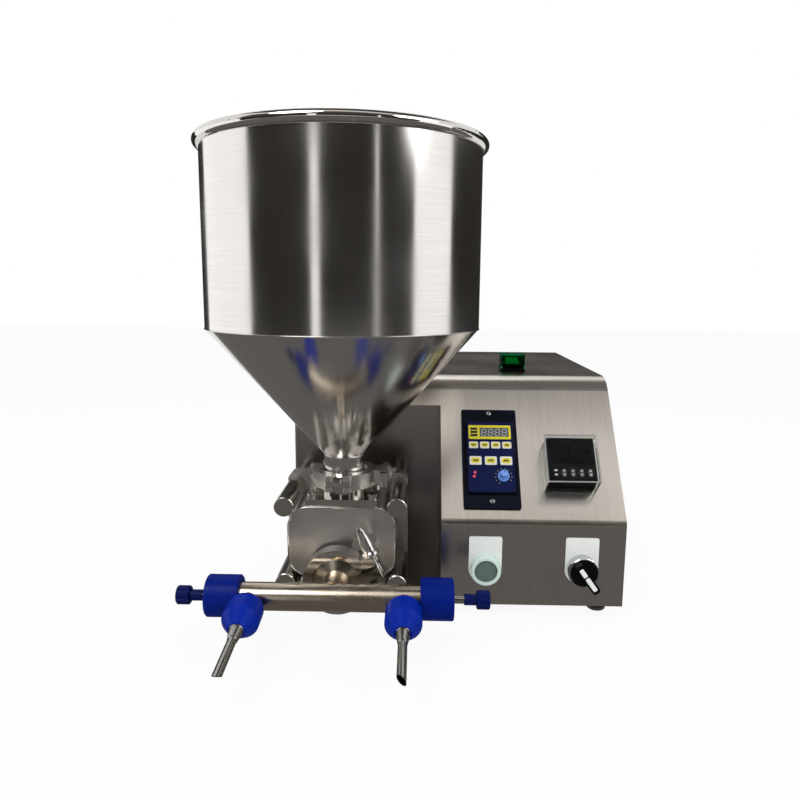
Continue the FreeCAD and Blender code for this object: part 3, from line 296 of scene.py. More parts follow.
finish = {
    # sheet: broad soft bands of the room, drawn out along the grain
    "sheetAcross": brushedSteel("brushedSheetAcross", "x"),
    "sheetSide": brushedSteel("brushedSheetSide", "y"),
    # the same sheet, its colour darkened: painted shade of the recess
    "sheetRecessShade": brushedSteel("brushedSheetRecessShade", "x", colour="#B4AEA6", dark="#A19B94"),
    # fine rings round the cone and the bowl, and a brighter rim above that height in metres
    "hopperSteel": brushedSteel("brushedHopper", "z", polishAbove=0.4455, colour="#DDDAD6", dark="#CBC8C4",
                                grainMm=1.1, roughness=(0.12, 0.19)),
    # buffed pieces: the room's dark and light parts with clear borders
    "polished": polishedSteel("polishedSteel"),
    "polishedClamp": polishedSteel("polishedClamp", colour="#E2DFDA", roughness=(0.08, 0.17)),
    # a lumpy cast skin that breaks reflections into blotches
    "castNut": polishedSteel("castWingNut", colour="#EAE7E2", roughness=(0.10, 0.18), poresPerMetre=160.0,
                             bumpMm=1.2),
    # warm satin pipe with fine lines round it
    "pipe": turnedSteel("satinPipe", "x", colour="#CBC0B0", dark="#B0A595", roughness=(0.20, 0.29)),
    # pale milled block with soft light on it
    "milled": turnedSteel("milledSteel", "xz", colour="#E8E5E0", dark="#D6D3CE", roughness=(0.30, 0.40)),
    # pale satin ring with lines round it
    "clampBand": turnedSteel("satinClampBand", "z", colour="#ECE8E4", dark="#D2CEC8", roughness=(0.26, 0.36)),
    # bright turned bars: a sharp highlight along each, faint rings across it
    "turnedY": turnedSteel("turnedSteelY", "y"),
    "turnedX": turnedSteel("turnedSteelX", "x"),
    # smooth grey tube
    "needleSteel": turnedSteel("needleSteel", "xz", colour="#ABA9A5", dark="#9A9894", bumpMm=0.001),
    # cool mirror
    "chrome": polishedSteel("chromePlate", colour="#D5D6D8", roughness=(0.05, 0.12)),
    # bluish grey screws with a fine grain
    "zinc": castMetal("zincPlated", "#B4B6B8", 0.32, 1.0, gritPerMetre=1200.0, gritMm=0.02),
    # dull grey pebbled casting
    "castAlloy": castMetal("castAluminium", "#A9AAAC", 0.48, 1.0),
    # porous yellow-brown bushes
    "bronze": turnedSteel("sinteredBronze", "y", colour="#B08A55", dark="#94713F"),
    # black paint with an orange-peel skin
    "motorPaint": castMetal("motorPaint", "#2A2C30", 0.45, 0.0),
    # machined nylon, nearly matt: nuts, caps and knobs in three blues
    "blueNylon": plastic("blueNylon", "#012493", 0.36, **nylon),
    "capNylon": plastic("capNylon", "#011A74", 0.36, **nylon),
    "navyNylon": plastic("navyNylon", "#081650", 0.38, **nylon),
    # moulded case, nearly black, and the printed film on it
    "navyCase": plastic("navyCase", "#0A0E1C", 0.16, 2500.0, 0.01, 0.10, **dull),
    "keypadFilm": plastic("keypadFilm", "#111A44", 0.30, 2600.0, 0.02, 0.08, **dull),
    # glossy sky-blue dial
    "lightBlue": plastic("lightBluePlastic", "#6F9CE8", 0.25),
    # black mouldings, satin and glossy, and matt rubber
    "blackPlastic": plastic("blackPlastic", "#0E0E10", 0.34, **dull),
    "blackGloss": plastic("blackGloss", "#060608", 0.10, skinMm=0.005, **dull),
    "rubber": plastic("blackRubber", "#17171A", 0.62, 900.0, 0.06),
    # chalky white seals
    "silicone": plastic("whiteSilicone", "#D8D6CF", 0.45),
    # the start button: a pale green bezel round a greyish lens
    "paleGreen": plastic("paleGreenPlastic", "#CFE4DC", 0.22, wear=0.06),
    "greyLens": plastic("greyLens", "#5F6E69", 0.20, wear=0.06),
    # a rocker that is lit inside, and its tinted cover
    "greenLamp": lampPlastic("greenLamp", "#0B7A45", "#12C46A", 0.35),
    "switchGreen": clearPlastic("switchGreen", "#11935A", 0.06),
    # clear cover: what lies behind shows through with hardly a highlight
    "clear": clearPlastic("clearCover"),
    # prints, keys and display: flat even tones
    "labelWhite": plastic("labelWhite", "#E9ECEA", 0.35, wear=0.04, **printed),
    "keyWhite": plastic("keyWhite", "#E6E6DC", 0.35, wear=0.05, **printed),
    "keyYellow": plastic("keyYellow", "#E5D62B", 0.35, wear=0.06, **printed),
    "digitGrey": plastic("digitGrey", "#A9AAAE", 0.30, wear=0.05, **printed),
    "displayDark": plastic("displayDark", "#54565A", 0.22, wear=0.05, **printed),
    # black print, also used as painted shade in the dial's notch
    "printAndShadeBlack": plastic("printAndShadeBlack", "#1A1A18", 0.4),
    # faintly glowing lamps
    "ledRed": lampPlastic("ledRed", "#C2415C", "#FF5A78", 0.25),
    # painted light: opaque grey that stands for light caught in the edges of the clear cover
    "coverEdgeGlint": plastic("coverEdgeGlint", "#8F8D8A", 0.22, wear=0.10),
    # the timer's front and its grey rockers
    "timerBlack": plastic("timerBlack", "#0C0C0D", 0.38, **dull),
    "timerKey": plastic("timerKey", "#4C4C48", 0.32, wear=0.08, **dull),
    # straw colour left beside a weld
    "heatTint": polishedSteel("weldHeatTint", colour="#C2A47A", roughness=(0.16, 0.32)),
}

nodesBy = {
    "sheetAcross": "base_pan control_cover drive_cover rear_panel",
    "sheetSide": "right_side_panel left_side_panel control_box_side",
    # the recess wall takes the sheet whose darker colour is painted shade
    "sheetRecessShade": "recess_wall",
    "zinc": "rear_screws foot_screws tie_studs body_bolts",
    "rubber": "rubber_feet",
    "castAlloy": "gearbox",
    "motorPaint": "drive_motor",
    "blackPlastic": "power_gland timer selector_lever power_switch_body",
    "turnedY": "post_spacers round_nuts drive_gear idler_gear",
    "milled": "pump_back_plate pump_body",
    "bronze": "rotor_bushes",
    "silicone": "shaft_seal chamber_seal clamp_gaskets",
    "polished": "inlet_flange",
    "hopperSteel": "hopper",
    "clampBand": "inlet_clamp_back inlet_clamp_left inlet_clamp_front",
    "polishedClamp": "flange_screws inlet_clamp_links inlet_clamp_bolt outlet_clamp_upper outlet_clamp_lower"
                     " outlet_clamp_link outlet_clamp_bolt",
    "castNut": "inlet_wing_nut outlet_wing_nut",
    "pipe": "manifold",
    "turnedX": "left_flow_screw right_flow_screw",
    "capNylon": "end_caps",
    "navyNylon": "left_flow_knob right_flow_knob",
    "blueNylon": "nozzle_nuts",
    "needleSteel": "needles",
    "navyCase": "speed_controller",
    "keypadFilm": "controller_keypad",
    "lightBlue": "speed_dial",
    "clear": "timer_cover",
    "paleGreen": "start_button_body",
    "greyLens": "start_lens",
    "chrome": "selector_body",
    "greenLamp": "power_rocker",
    "switchGreen": "power_switch_cover",
}
finishOf = {name: key for key, names in nodesBy.items() for name in names.split()}
for name, node in nodes.items():
    node.data.materials.clear()
    node.data.materials.append(finish[finishOf[name]])
print("finishes made:", len(finish))

weldDistance = 1e-4     # corners closer than this become one
# in how many flat steps a round is drawn
facets = {"slabCorner": 6, "slabEdge": 2, "plateCorner": 12, "hole": 48, "bead": 8,
          "domeRound": 24, "domeUp": 12}


def roundOff(bm, geometry, offset, segments, affect="EDGES"):
    bmesh.ops.bevel(bm, geom=geometry, offset=offset, segments=segments, profile=0.5, affect=affect,
                    material=-1)


def slab(bm, width, height, thick, at=(0, 0), base=0.0, corner=0.0, edge=0.0, turn=0.0):
    # a small plate lying in the local xy plane, with rounded corners and a softened front edge
    before = set(bm.faces)
    made = bmesh.ops.create_cube(bm, size=1.0)["verts"]
    spot = shift(*at, base + thick / 2) @ turned(turn, "Z")
    bmesh.ops.transform(bm, verts=made, matrix=spot @ stretched(width, height, thick))
    if corner:
        own = set(made)
        upright = [e for e in bm.edges
                   if e.verts[0] in own and abs(e.verts[0].co.z - e.verts[1].co.z) > 0.5 * thick]
        roundOff(bm, upright, corner, facets["slabCorner"])
    if edge:
        bm.normal_update()
        front = max((f for f in bm.faces if f not in before), key=lambda f: f.calc_center_median().z)
        roundOff(bm, list(front.edges), edge, facets["slabEdge"])


def turnedRing(bm, outline, steps=72):
    # a closed outline of (radius, height) pairs turned round the local z axis
    points = [bm.verts.new((r, 0, h)) for r, h in outline]
    edges = [bm.edges.new((points[i - 1], points[i])) for i in range(len(points))]
    bmesh.ops.spin(bm, geom=points + edges, cent=(0, 0, 0), axis=(0, 0, 1), angle=2 * math.pi, steps=steps,
                   use_merge=True)


def weldBead(bm, radius, size, steps):
    # a bead round a circle, its inner half inside what it joins
    angles = [2 * math.pi * i / facets["bead"] for i in range(facets["bead"])]
    turnedRing(bm, [(radius + size * math.cos(a), size * math.sin(a)) for a in angles], steps)


def holedPlate(bm, size, thick, corners, hole, holeAt=(0, 0), middle=(0, 0), base=0.0, roundHole=False):
    # corners are the radii at the bottom and at the top; the hole is a circle or a rectangle
    square = bmesh.ops.create_grid(bm, x_segments=1, y_segments=1, size=0.5)["verts"]
    bmesh.ops.transform(bm, verts=square, matrix=shift(*middle, base) @ stretched(*size, 1))
    for side, radius in zip((-1, 1), corners):
        ends = [v for v in bm.verts if side * (v.co.y - middle[1]) > 0.499 * size[1]]
        roundOff(bm, ends, radius, facets["plateCorner"], "VERTICES")
    bmesh.ops.delete(bm, geom=list(bm.faces), context="FACES_ONLY")
    if roundHole:
        opening = bmesh.ops.create_circle(bm, cap_ends=False, radius=0.5, segments=facets["hole"])["verts"]
    else:
        opening = bmesh.ops.create_grid(bm, x_segments=1, y_segments=1, size=0.5)["verts"]
        bmesh.ops.delete(bm, geom=list(bm.faces), context="FACES_ONLY")
    bmesh.ops.transform(bm, verts=opening, matrix=shift(*holeAt, base) @ stretched(*hole, 1))
    bmesh.ops.triangle_fill(bm, edges=list(bm.edges), use_beauty=True)
    pushed = bmesh.ops.extrude_face_region(bm, geom=list(bm.faces))["geom"]
    bmesh.ops.translate(bm, verts=[v for v in pushed if isinstance(v, bmesh.types.BMVert)], vec=(0, 0, thick))


def meshObject(name, bm, material):
    mesh = bpy.data.meshes.new(name)
    bm.to_mesh(mesh)
    bm.free()
    mesh.materials.append(material)
    made = bpy.data.objects.new(name, mesh)
    bpy.context.collection.objects.link(made)
    return made


def finishPiece(name, bm, material, where, body="machine", smooth=False):
    # the place goes into the mesh, so the object itself stays at the origin
    bmesh.ops.remove_doubles(bm, verts=bm.verts, dist=weldDistance)
    bmesh.ops.transform(bm, verts=bm.verts, matrix=where)
    bmesh.ops.recalc_face_normals(bm, faces=bm.faces)
    piece = meshObject(name, bm, finish[material])
    if smooth:
        piece.data.shade_smooth()
    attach(piece, body)
    return piece


# Blank name plates behind the two panel buttons
buttonAt = {"start": (43.4, 39.0), "selector": (137.9, 39.0)}     # across and up the front panel
namePlate = {"width": 32.3, "top": 31.4, "bottom": -15.5, "thick": 0.8, "hole": 24.0, "corners": (14.5, 2.0)}

for button, at in buttonAt.items():
    bm = bmesh.new()
    holedPlate(bm, (namePlate["width"], namePlate["top"] - namePlate["bottom"]), namePlate["thick"],
               namePlate["corners"], (namePlate["hole"], namePlate["hole"]),
               middle=(0, (namePlate["top"] + namePlate["bottom"]) / 2), roundHole=True)
    finishPiece(button + "Label", bm, "labelWhite", onFront @ shift(*at))

# Chrome ring round the selector's face
chromeRing = {"inner": 13.27, "outer": 14.95, "front": 12.35, "back": 7.0, "edge": 0.6}

bm = bmesh.new()
inner, outer, front, back, edge = chromeRing.values()
turnedRing(bm, [(inner, back), (outer, back), (outer, front - edge), (outer - edge, front),
                (inner + edge / 2, front), (inner, front - edge / 2)])
finishPiece("selectorRing", bm, "chrome", onFront @ shift(*buttonAt["selector"]))

# White strokes let into the selector's grip
leverStroke = {"turn": 36.0, "width": 4.2, "thick": 0.25, "front": 23.0, "parts": ((-16.0, -0.8), (0.8, 9.8)),
               "corner": 0.9, "edge": 0.06}

bm = bmesh.new()
for low, high in leverStroke["parts"]:
    slab(bm, leverStroke["width"], high - low, leverStroke["thick"], (0, (low + high) / 2),
         corner=leverStroke["corner"], edge=leverStroke["edge"])
finishPiece("selectorStroke", bm, "labelWhite",
            onFront @ shift(*buttonAt["selector"], leverStroke["front"])
            @ turned(math.radians(leverStroke["turn"]), "Z"), body="selector")

# Motor controller: its overlay, which stands for the source's keypad
controller = {"x": 50.0, "top": 6.0, "overlay": (46.6, 77.6), "overlayUp": 68.5, "thick": 0.4, "corner": 2.0,
              "dial": (62.0, 46.0), "dialHole": 12.4}
film = controller["top"] + controller["thick"]

bm = bmesh.new()
holedPlate(bm, controller["overlay"], controller["thick"], 2 * (controller["corner"],),
           2 * (controller["dialHole"],), controller["dial"], (controller["x"], controller["overlayUp"]),
           controller["top"], roundHole=True)
overlay = finishPiece("keypadOverlay", bm, "keypadFilm", onSlant)
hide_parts("controller_keypad")

# Its display: window, four digits, yellow surround with three printed marks
display = {"at": (54.6, 95.1), "window": (29.8, 10.4), "thick": 0.12, "surround": (43.4, 15.8), "frame": 0.7,
           "corner": 0.9, "mark": (7.2, 2.7, 0.12), "markLeft": 16.2, "markPitch": 3.7, "markCorner": 0.4}
digit = {
    "count": 4, "pitch": 7.1, "width": 4.3, "height": 7.4, "stroke": 0.9, "thick": 0.1, "corner": 0.25,
    "lean": 0.12, "flat": 1.5, "upright": 0.82,     # stroke lengths, in half widths and half heights
    # each stroke's side and height, in half widths and half heights, and whether it lies flat
    "strokes": ((0, 1, True), (0, 0, True), (0, -1, True),
                (1, 0.5, False), (-1, 0.5, False), (1, -0.5, False), (-1, -0.5, False)),
}

bm = bmesh.new()
slab(bm, *display["window"], display["thick"], display["at"], film)
finishPiece("displayWindow", bm, "displayDark", onSlant)

bm = bmesh.new()
displayX, displayUp = display["at"]
across, up = 0.5 * digit["width"], 0.5 * digit["height"]
for i in range(digit["count"]):
    middle = displayX + (i - 0.5 * (digit["count"] - 1)) * digit["pitch"]
    for u, v, flat in digit["strokes"]:
        size = (digit["flat"] * across, digit["stroke"]) if flat else (digit["stroke"], digit["upright"] * up)
        lean = digit["lean"] * v * up
        slab(bm, *size, digit["thick"], (middle + u * across + lean, displayUp + v * up),
             film + display["thick"], corner=digit["corner"])
finishPiece("displayDigits", bm, "digitGrey", onSlant)

bm = bmesh.new()
holedPlate(bm, display["surround"], display["frame"], 2 * (display["corner"],), display["window"],
           display["at"], (controller["x"], displayUp), film)
finishPiece("displaySurround", bm, "keyYellow", onSlant)

bm = bmesh.new()
for i in (-1, 0, 1):
    slab(bm, *display["mark"], (controller["x"] - display["markLeft"], displayUp + display["markPitch"] * i),
         film + display["frame"], corner=display["markCorner"])
finishPiece("displayMarks", bm, "printAndShadeBlack", onSlant)

# Its keys: white pads with a yellow oval and three small marks on each
keypad = {
    "rows": ((4, 80.5, 9.4, 7.6, 11.3), (3, 63.0, 12.2, 9.4, 15.4)),     # count, place, width, height, pitch
    "thick": 0.6, "corner": 1.4, "edge": 0.2,
    # shares of the pad's width and height
    "oval": (0.74, 0.6), "ovalCorner": 0.28, "ovalThick": 0.1,
    "mark": (0.11, 0.26), "markStep": 0.15, "markThick": 0.06, "markCorner": 0.2, "markTurn": 0.5,
}
ovalBase = film + keypad["thick"]
markBase = ovalBase + keypad["ovalThick"]

for count, s, width, height, pitch in keypad["rows"]:
    pads, ovals, marks = bmesh.new(), bmesh.new(), bmesh.new()
    for i in range(count):
        x = controller["x"] + (i - 0.5 * (count - 1)) * pitch
        slab(pads, width, height, keypad["thick"], (x, s), film, corner=keypad["corner"], edge=keypad["edge"])
        slab(ovals, keypad["oval"][0] * width, keypad["oval"][1] * height, keypad["ovalThick"], (x, s),
             ovalBase, corner=keypad["ovalCorner"] * height)
        for k in (-1, 0, 1):
            slab(marks, keypad["mark"][0] * width, keypad["mark"][1] * height, keypad["markThick"],
                 (x + keypad["markStep"] * width * k, s), markBase, corner=keypad["markCorner"],
                 turn=keypad["markTurn"] * k * (i - 1))
    finishPiece("controllerKeys%d" % count, pads, "keyWhite", onSlant)
    finishPiece("controllerOvals%d" % count, ovals, "keyYellow", onSlant)
    finishPiece("controllerMarks%d" % count, marks, "printAndShadeBlack", onSlant)

# Its lamps, the dial's printed scale, and a dark wedge on the dial: painted shade in its notch
dots = {"at": ((33.6, 50.0), (32.7, 45.8)), "radius": 1.6, "flatten": 0.55}
scale = {"marks": 11, "from": -150, "step": 27, "radius": 8.2, "mark": (0.5, 1.6, 0.08)}
notch = {"size": (0.8, 2.6, 0.2), "up": 1.7, "base": 15.2, "corner": 0.3}
dialX, dialUp = controller["dial"]

bm = bmesh.new()
for at in dots["at"]:
    dome = bmesh.ops.create_uvsphere(bm, u_segments=facets["domeRound"], v_segments=facets["domeUp"],
                                     radius=dots["radius"])["verts"]
    bmesh.ops.transform(bm, verts=dome, matrix=shift(*at, film) @ stretched(1, 1, dots["flatten"]))
finishPiece("controllerLamps", bm, "ledRed", onSlant, smooth=True)

bm = bmesh.new()
for i in range(scale["marks"]):
    angle = math.radians(scale["from"] + scale["step"] * i)
    out = (scale["radius"] * math.sin(angle), scale["radius"] * math.cos(angle))
    slab(bm, *scale["mark"], (dialX + out[0], dialUp + out[1]), film, turn=-angle)
finishPiece("dialScale", bm, "digitGrey", onSlant)

bm = bmesh.new()
# a dark wedge on the dial's top: painted shade in its notch
slab(bm, *notch["size"], (dialX, dialUp + notch["up"]), notch["base"], corner=notch["corner"])
finishPiece("dialNotchShade", bm, "printAndShadeBlack", onSlant, body="dial")

# Its two screws, domed and with a cross
screw = {
    "at": ((118.5, 3.0), (20.5, 3.0)),     # place up the slope and height of the seat
    "head": ((0.35, 0.0), (2.8, 0.0), (2.8, 0.6), (2.3, 1.35), (1.3, 1.8), (0.35, 1.95)),
    "steps": 40, "crossAbove": 1.7, "crossHalf": 0.35, "crossDeep": 0.7, "turn": 0.4,
}

for i, (s, base) in enumerate(screw["at"]):
    bm = bmesh.new()
    turnedRing(bm, screw["head"], screw["steps"])
    cross = [v for v in bm.verts
             if v.co.z > screw["crossAbove"] and min(abs(v.co.x), abs(v.co.y)) < screw["crossHalf"]]
    bmesh.ops.translate(bm, verts=cross, vec=(0, 0, -screw["crossDeep"]))
    bmesh.ops.holes_fill(bm, edges=list(bm.edges), sides=0)
    finishPiece("controllerScrew%d" % (i + 1), bm, "zinc",
                onSlant @ shift(controller["x"], s, base) @ turned(screw["turn"] + i, "Z"))
print("controller dressed")

# Panel timer: its front stands close behind the clear cover, with a screen, two lamps and four rockers
timer = {
    "at": (127.0, 57.0), "bezel": 12.0, "face": 25.4, "size": 46.8, "corner": 1.5, "edge": 0.8,
    "screen": (40.6, 26.0, 0.3), "screenUp": 7.6, "screenCorner": 1.0, "screenEdge": 0.1,
    "key": (4.2, 8.6, 0.5), "keyPlaces": (-1, 0, 1, 2), "keyPitch": 8.5, "keyDown": 14.6, "keyCorner": 2.0,
    "keyEdge": 0.15, "keyMark": (1.5, 1.1, 0.1), "keyMarkUp": (1.9, -1.9), "keyMarkCorner": 0.45,
    "lamp": (3.0, 1.2, 0.12), "lampLeft": 16.4, "lampUp": (2.6, -2.0), "lampCorner": 0.5,
}
timerX, timerUp = timer["at"]
keyUp = timerUp - timer["keyDown"]

bm = bmesh.new()
slab(bm, timer["size"], timer["size"], timer["face"] - timer["bezel"], timer["at"], timer["bezel"],
     corner=timer["corner"], edge=timer["edge"])
finishPiece("timerFront", bm, "timerBlack", onSlant)

bm = bmesh.new()
slab(bm, *timer["screen"], (timerX, timerUp + timer["screenUp"]), timer["face"], corner=timer["screenCorner"],
     edge=timer["screenEdge"])
finishPiece("timerScreen", bm, "blackGloss", onSlant)

rockers, marks = bmesh.new(), bmesh.new()
for i in timer["keyPlaces"]:
    x = timerX + i * timer["keyPitch"]
    slab(rockers, *timer["key"], (x, keyUp), timer["face"], corner=timer["keyCorner"], edge=timer["keyEdge"])
    for up in timer["keyMarkUp"]:
        slab(marks, *timer["keyMark"], (x, keyUp + up), timer["face"] + timer["key"][2],
             corner=timer["keyMarkCorner"])
for up in timer["lampUp"]:
    slab(marks, *timer["lamp"], (timerX - timer["lampLeft"], keyUp + up), timer["face"],
         corner=timer["lampCorner"])
finishPiece("timerKeys", rockers, "timerKey", onSlant)
finishPiece("timerKeyMarks", marks, "keyWhite", onSlant)

# Painted light caught in the edges of its clear cover: an opaque grey frame at the front and a post at each
# corner
cover = {"size": 52.0, "front": 28.0, "inset": 0.3, "rim": 1.2, "thick": 0.5, "corner": 1.8,
         "post": 1.0, "postIn": 0.75, "postFrom": 0.2, "postCorner": 0.3}

bm = bmesh.new()
frameSize = cover["size"] - 2 * cover["inset"]
opening = frameSize - 2 * cover["rim"]
holedPlate(bm, (frameSize, frameSize), cover["thick"], 2 * (cover["corner"],), (opening, opening),
           timer["at"], timer["at"], cover["front"] - cover["inset"])
postOut = cover["size"] / 2 - cover["postIn"]
for side in (-1, 1):
    for end in (-1, 1):
        spot = (timerX + side * postOut, timerUp + end * postOut)
        slab(bm, cover["post"], cover["post"], cover["front"] - 2 * cover["inset"], spot, cover["postFrom"],
             corner=cover["postCorner"])
finishPiece("timerCoverGlintRim", bm, "coverEdgeGlint", onSlant)
print("timer dressed")

# Injection needles: a thin tube crimped in a collar, with a long ground point
needle = {
    "x": (-174.0, -35.0), "pipe": (-62.0, 33.5), "tilt": 6.0, "roll": (90.0, 0.0),
    # distances down the tube, and radii
    "collar": 38.1, "collarLong": 2.0, "exit": 55.0, "nose": 68.0, "tip": 118.7, "bevel": 9.0,
    "collarRadius": 8.4, "noseRadius": 6.6, "radius": 3.9, "wall": 0.4,
    "chamfer": (0.5, 1.0), "throat": (0.5, 1.2), "steps": 48,
}

bm = bmesh.new()
skin = needle["radius"]
bore = skin - needle["wall"]
shoulder = needle["collar"] + needle["collarLong"]
slope = math.atan2(needle["bevel"], 2 * skin)
outline = [
    (bore, needle["collar"]), (needle["collarRadius"], needle["collar"]), (needle["collarRadius"], shoulder),
    (needle["noseRadius"], shoulder), (needle["noseRadius"], needle["exit"]),
    (needle["noseRadius"] - needle["chamfer"][0], needle["exit"] + needle["chamfer"][1]),
    (skin + needle["throat"][0], needle["nose"]), (skin, needle["nose"] + needle["throat"][1]),
    (skin, needle["tip"]), (bore, needle["tip"]),
]
for x, roll in zip(needle["x"], needle["roll"]):
    before = set(bm.verts)
    turnedRing(bm, outline, needle["steps"])
    bmesh.ops.remove_doubles(bm, verts=[v for v in bm.verts if v not in before], dist=weldDistance)
    own = [v for v in bm.verts if v not in before]
    around = [g for g in list(bm.edges) + list(bm.faces) if g.verts[0] not in before]
    cut = bmesh.ops.bisect_plane(bm, geom=own + around, plane_no=(-math.sin(slope), 0, math.cos(slope)),
                                 plane_co=(0, 0, needle["tip"] - needle["bevel"] / 2),
                                 clear_outer=True)["geom_cut"]
    bmesh.ops.bridge_loops(bm, edges=[e for e in cut if isinstance(e, bmesh.types.BMEdge)])
    own = [v for v in bm.verts if v not in before]
    aim = shift(x, *needle["pipe"]) @ turned(math.pi / 2 + math.radians(needle["tilt"]), "X")
    bmesh.ops.transform(bm, verts=own, matrix=aim @ turned(math.radians(roll), "Z"))
needles = finishPiece("groundNeedles", bm, "needleSteel", inRoom)
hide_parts("needles")
print("needles ground")

# Broken edge of the pump's front: a narrow rounded line that catches the light, open below at the outlet
pumpEdge = {"at": (-97.0, 66.0, 10.0), "size": (104.5, 70.0), "corner": 20.0, "bead": 0.8, "sunk": 0.4,
            "steps": 12}

bm = bmesh.new()
halfAcross, halfUp = (side / 2 - pumpEdge["corner"] for side in pumpEdge["size"])
sunk = pumpEdge["sunk"] * pumpEdge["bead"]
ring = bmesh.ops.create_circle(bm, cap_ends=False, radius=pumpEdge["bead"], segments=facets["bead"])["verts"]
start = shift(-halfAcross, sunk - halfUp - pumpEdge["corner"], -sunk) @ turned(math.pi / 2, "Y")
bmesh.ops.transform(bm, verts=ring, matrix=start)
last = list(bm.verts) + list(bm.edges)
# round each corner from the lower left one, with a straight run before the next
corners = ((-1, -1, (0, 2 * halfUp, 0)), (-1, 1, (2 * halfAcross, 0, 0)), (1, 1, (0, -2 * halfUp, 0)),
           (1, -1, None))
for side, end, run in corners:
    last = bmesh.ops.spin(bm, geom=last, cent=(side * halfAcross, end * halfUp, 0), axis=(0, 0, 1),
                          angle=-math.pi / 2, steps=pumpEdge["steps"])["geom_last"]
    if run:
        edges = [e for e in last if isinstance(e, bmesh.types.BMEdge)]
        last = bmesh.ops.extrude_edge_only(bm, edges=edges)["geom"]
        last = [g for g in last if not isinstance(g, bmesh.types.BMFace)]
        bmesh.ops.translate(bm, verts=[g for g in last if isinstance(g, bmesh.types.BMVert)], vec=run)
bmesh.ops.holes_fill(bm, edges=list(bm.edges), sides=0)
finishPiece("pumpFrontEdge", bm, "polishedClamp", onFront @ shift(*pumpEdge["at"]), smooth=True)

# Welds of the hopper: two seams round it and one up its back
hopperWeld = {
    "at": (-97.0, 22.0), "size": 0.55, "steps": 160,
    "seams": (("hopperSeam", 272.0, 129.95), ("neckSeam", 147.0, 20.05)),     # name, height, radius
    "back": (1.6, 158.0, 0.5), "backEdge": 0.2, "backOut": 129.8, "backHeight": 353.0,
}
hopperX, hopperY = hopperWeld["at"]

for name, height, radius in hopperWeld["seams"]:
    bm = bmesh.new()
    weldBead(bm, radius, hopperWeld["size"], hopperWeld["steps"])
    finishPiece(name, bm, "polished", inRoom @ shift(hopperX, hopperY, height), smooth=True)

bm = bmesh.new()
slab(bm, *hopperWeld["back"], edge=hopperWeld["backEdge"])
finishPiece("hopperBackSeam", bm, "polished",
            inRoom @ shift(hopperX, hopperY + hopperWeld["backOut"], hopperWeld["backHeight"])
            @ turned(-math.pi / 2, "X"))

# Welds where the manifold's branches meet its pipe
branchWeld = {
    "pipe": (-62.0, 33.5), "pipeRadius": 12.7, "size": 0.8, "steps": 72,
    # name, place along the pipe, radius, and turn about the pipe in degrees
    "welds": (("outletWeld", -100.0, 12.7, -90.0), ("leftNozzleWeld", -174.0, 8.4, 96.0),
              ("rightNozzleWeld", -35.0, 8.4, 96.0)),
}

for name, x, radius, turn in branchWeld["welds"]:
    bm = bmesh.new()
    weldBead(bm, radius, branchWeld["size"], branchWeld["steps"])
    # the bead follows the pipe's curve
    for v in bm.verts:
        v.co.z += math.sqrt(max(0.0, branchWeld["pipeRadius"] ** 2 - v.co.y ** 2))
    spot = inRoom @ shift(x, *branchWeld["pipe"])
    finishPiece(name, bm, "heatTint", spot @ turned(math.radians(turn), "X"), smooth=True)
print("welds laid")

# Stage: pale floor, soft lamps, and cards that only the bright steel mirrors. Sizes here are in metres.
stage = {
    "floor": "#EDEDEB", "floorShade": 0.96, "floorLift": 0.93, "floorSize": 9.0, "floorBelow": 0.0002,
    "floorPerMetre": 3.0, "floorDetail": 3.0, "floorRoughness": 0.85, "dayDiffuse": 0.50,
    # lamps: place, size, power
    "key": ((-0.9, -1.3, 1.9), 1.2, 24.0), "fill": ((1.5, -0.9, 1.3), 1.2, 12.0),
    "top": ((0.0, 0.5, 2.2), 1.6, 12.0), "lampsAimAt": (0.0, 0.0, 0.2),
}
cardRing = {
    "middle": (-97.0, 22.0), "radius": 2.2, "cardDegrees": 15,     # the middle is in millimetres
    # tone, glow, lower and upper edge, and spans in degrees, from the front towards the right
    "dark": ("#302E2C", 1.0, 0.0, 1.0, ((-180, -130), (-69, -18), (-12, 30), (32, 61), (98, 180))),
    "bright": ("#FFFFFF", 1.3, 0.0, 1.0, ((-130, -69), (-18, -12), (30, 32), (61, 98))),
    "sky": ("#4C4A48", 1.0, 1.0, 2.5, ((-75, 75),)),
}
flatCards = {
    # tone, width, depth, place, tilt in degrees
    "lowCard": ("#6A6866", 3.2, 2.1, (0.0, -0.55, 0.004), 0.0),
    "rearCard": ("#2A2826", 3.2, 1.6, (0.2, 2.6, 1.1), 70.0),
    "frontCard": ("#8C7F70", 3.0, 0.8, (0.0, -1.7, 2.0), 0.0),
    "ceilingCard": ("#4E4B49", 2.6, 1.8, (0.1, 0.14, 2.0), 0.0),
}
white = (1, 1, 1, 1)


def seenWhite(tree):
    # 1 for rays from the camera, and for those mirrored by metal or passed by clear plastic
    path = addNode(tree, "ShaderNodeLightPath").outputs
    both = addNode(tree, "ShaderNodeMath", links={0: path["Is Camera Ray"], 1: path["Is Glossy Ray"]},
                   operation="MAXIMUM").outputs[0]
    return addNode(tree, "ShaderNodeMath", links={0: both, 1: path["Is Transmission Ray"]},
                   operation="MAXIMUM").outputs[0]


def blendShaders(tree, value, first, second):
    links = {0: value, 1: first.outputs[0], 2: second.outputs[0]}
    return addNode(tree, "ShaderNodeMixShader", links=links).outputs[0]


world = bpy.data.worlds.new("studio")
world.use_nodes = True
tree = world.node_tree
tree.nodes.clear()
plain = addNode(tree, "ShaderNodeBackground", {"Color": white, "Strength": stage["dayDiffuse"]})
bright = addNode(tree, "ShaderNodeBackground", {"Color": white, "Strength": 1.0})
addNode(tree, "ShaderNodeOutputWorld", links={"Surface": blendShaders(tree, seenWhite(tree), plain, bright)})
bpy.context.scene.world = world


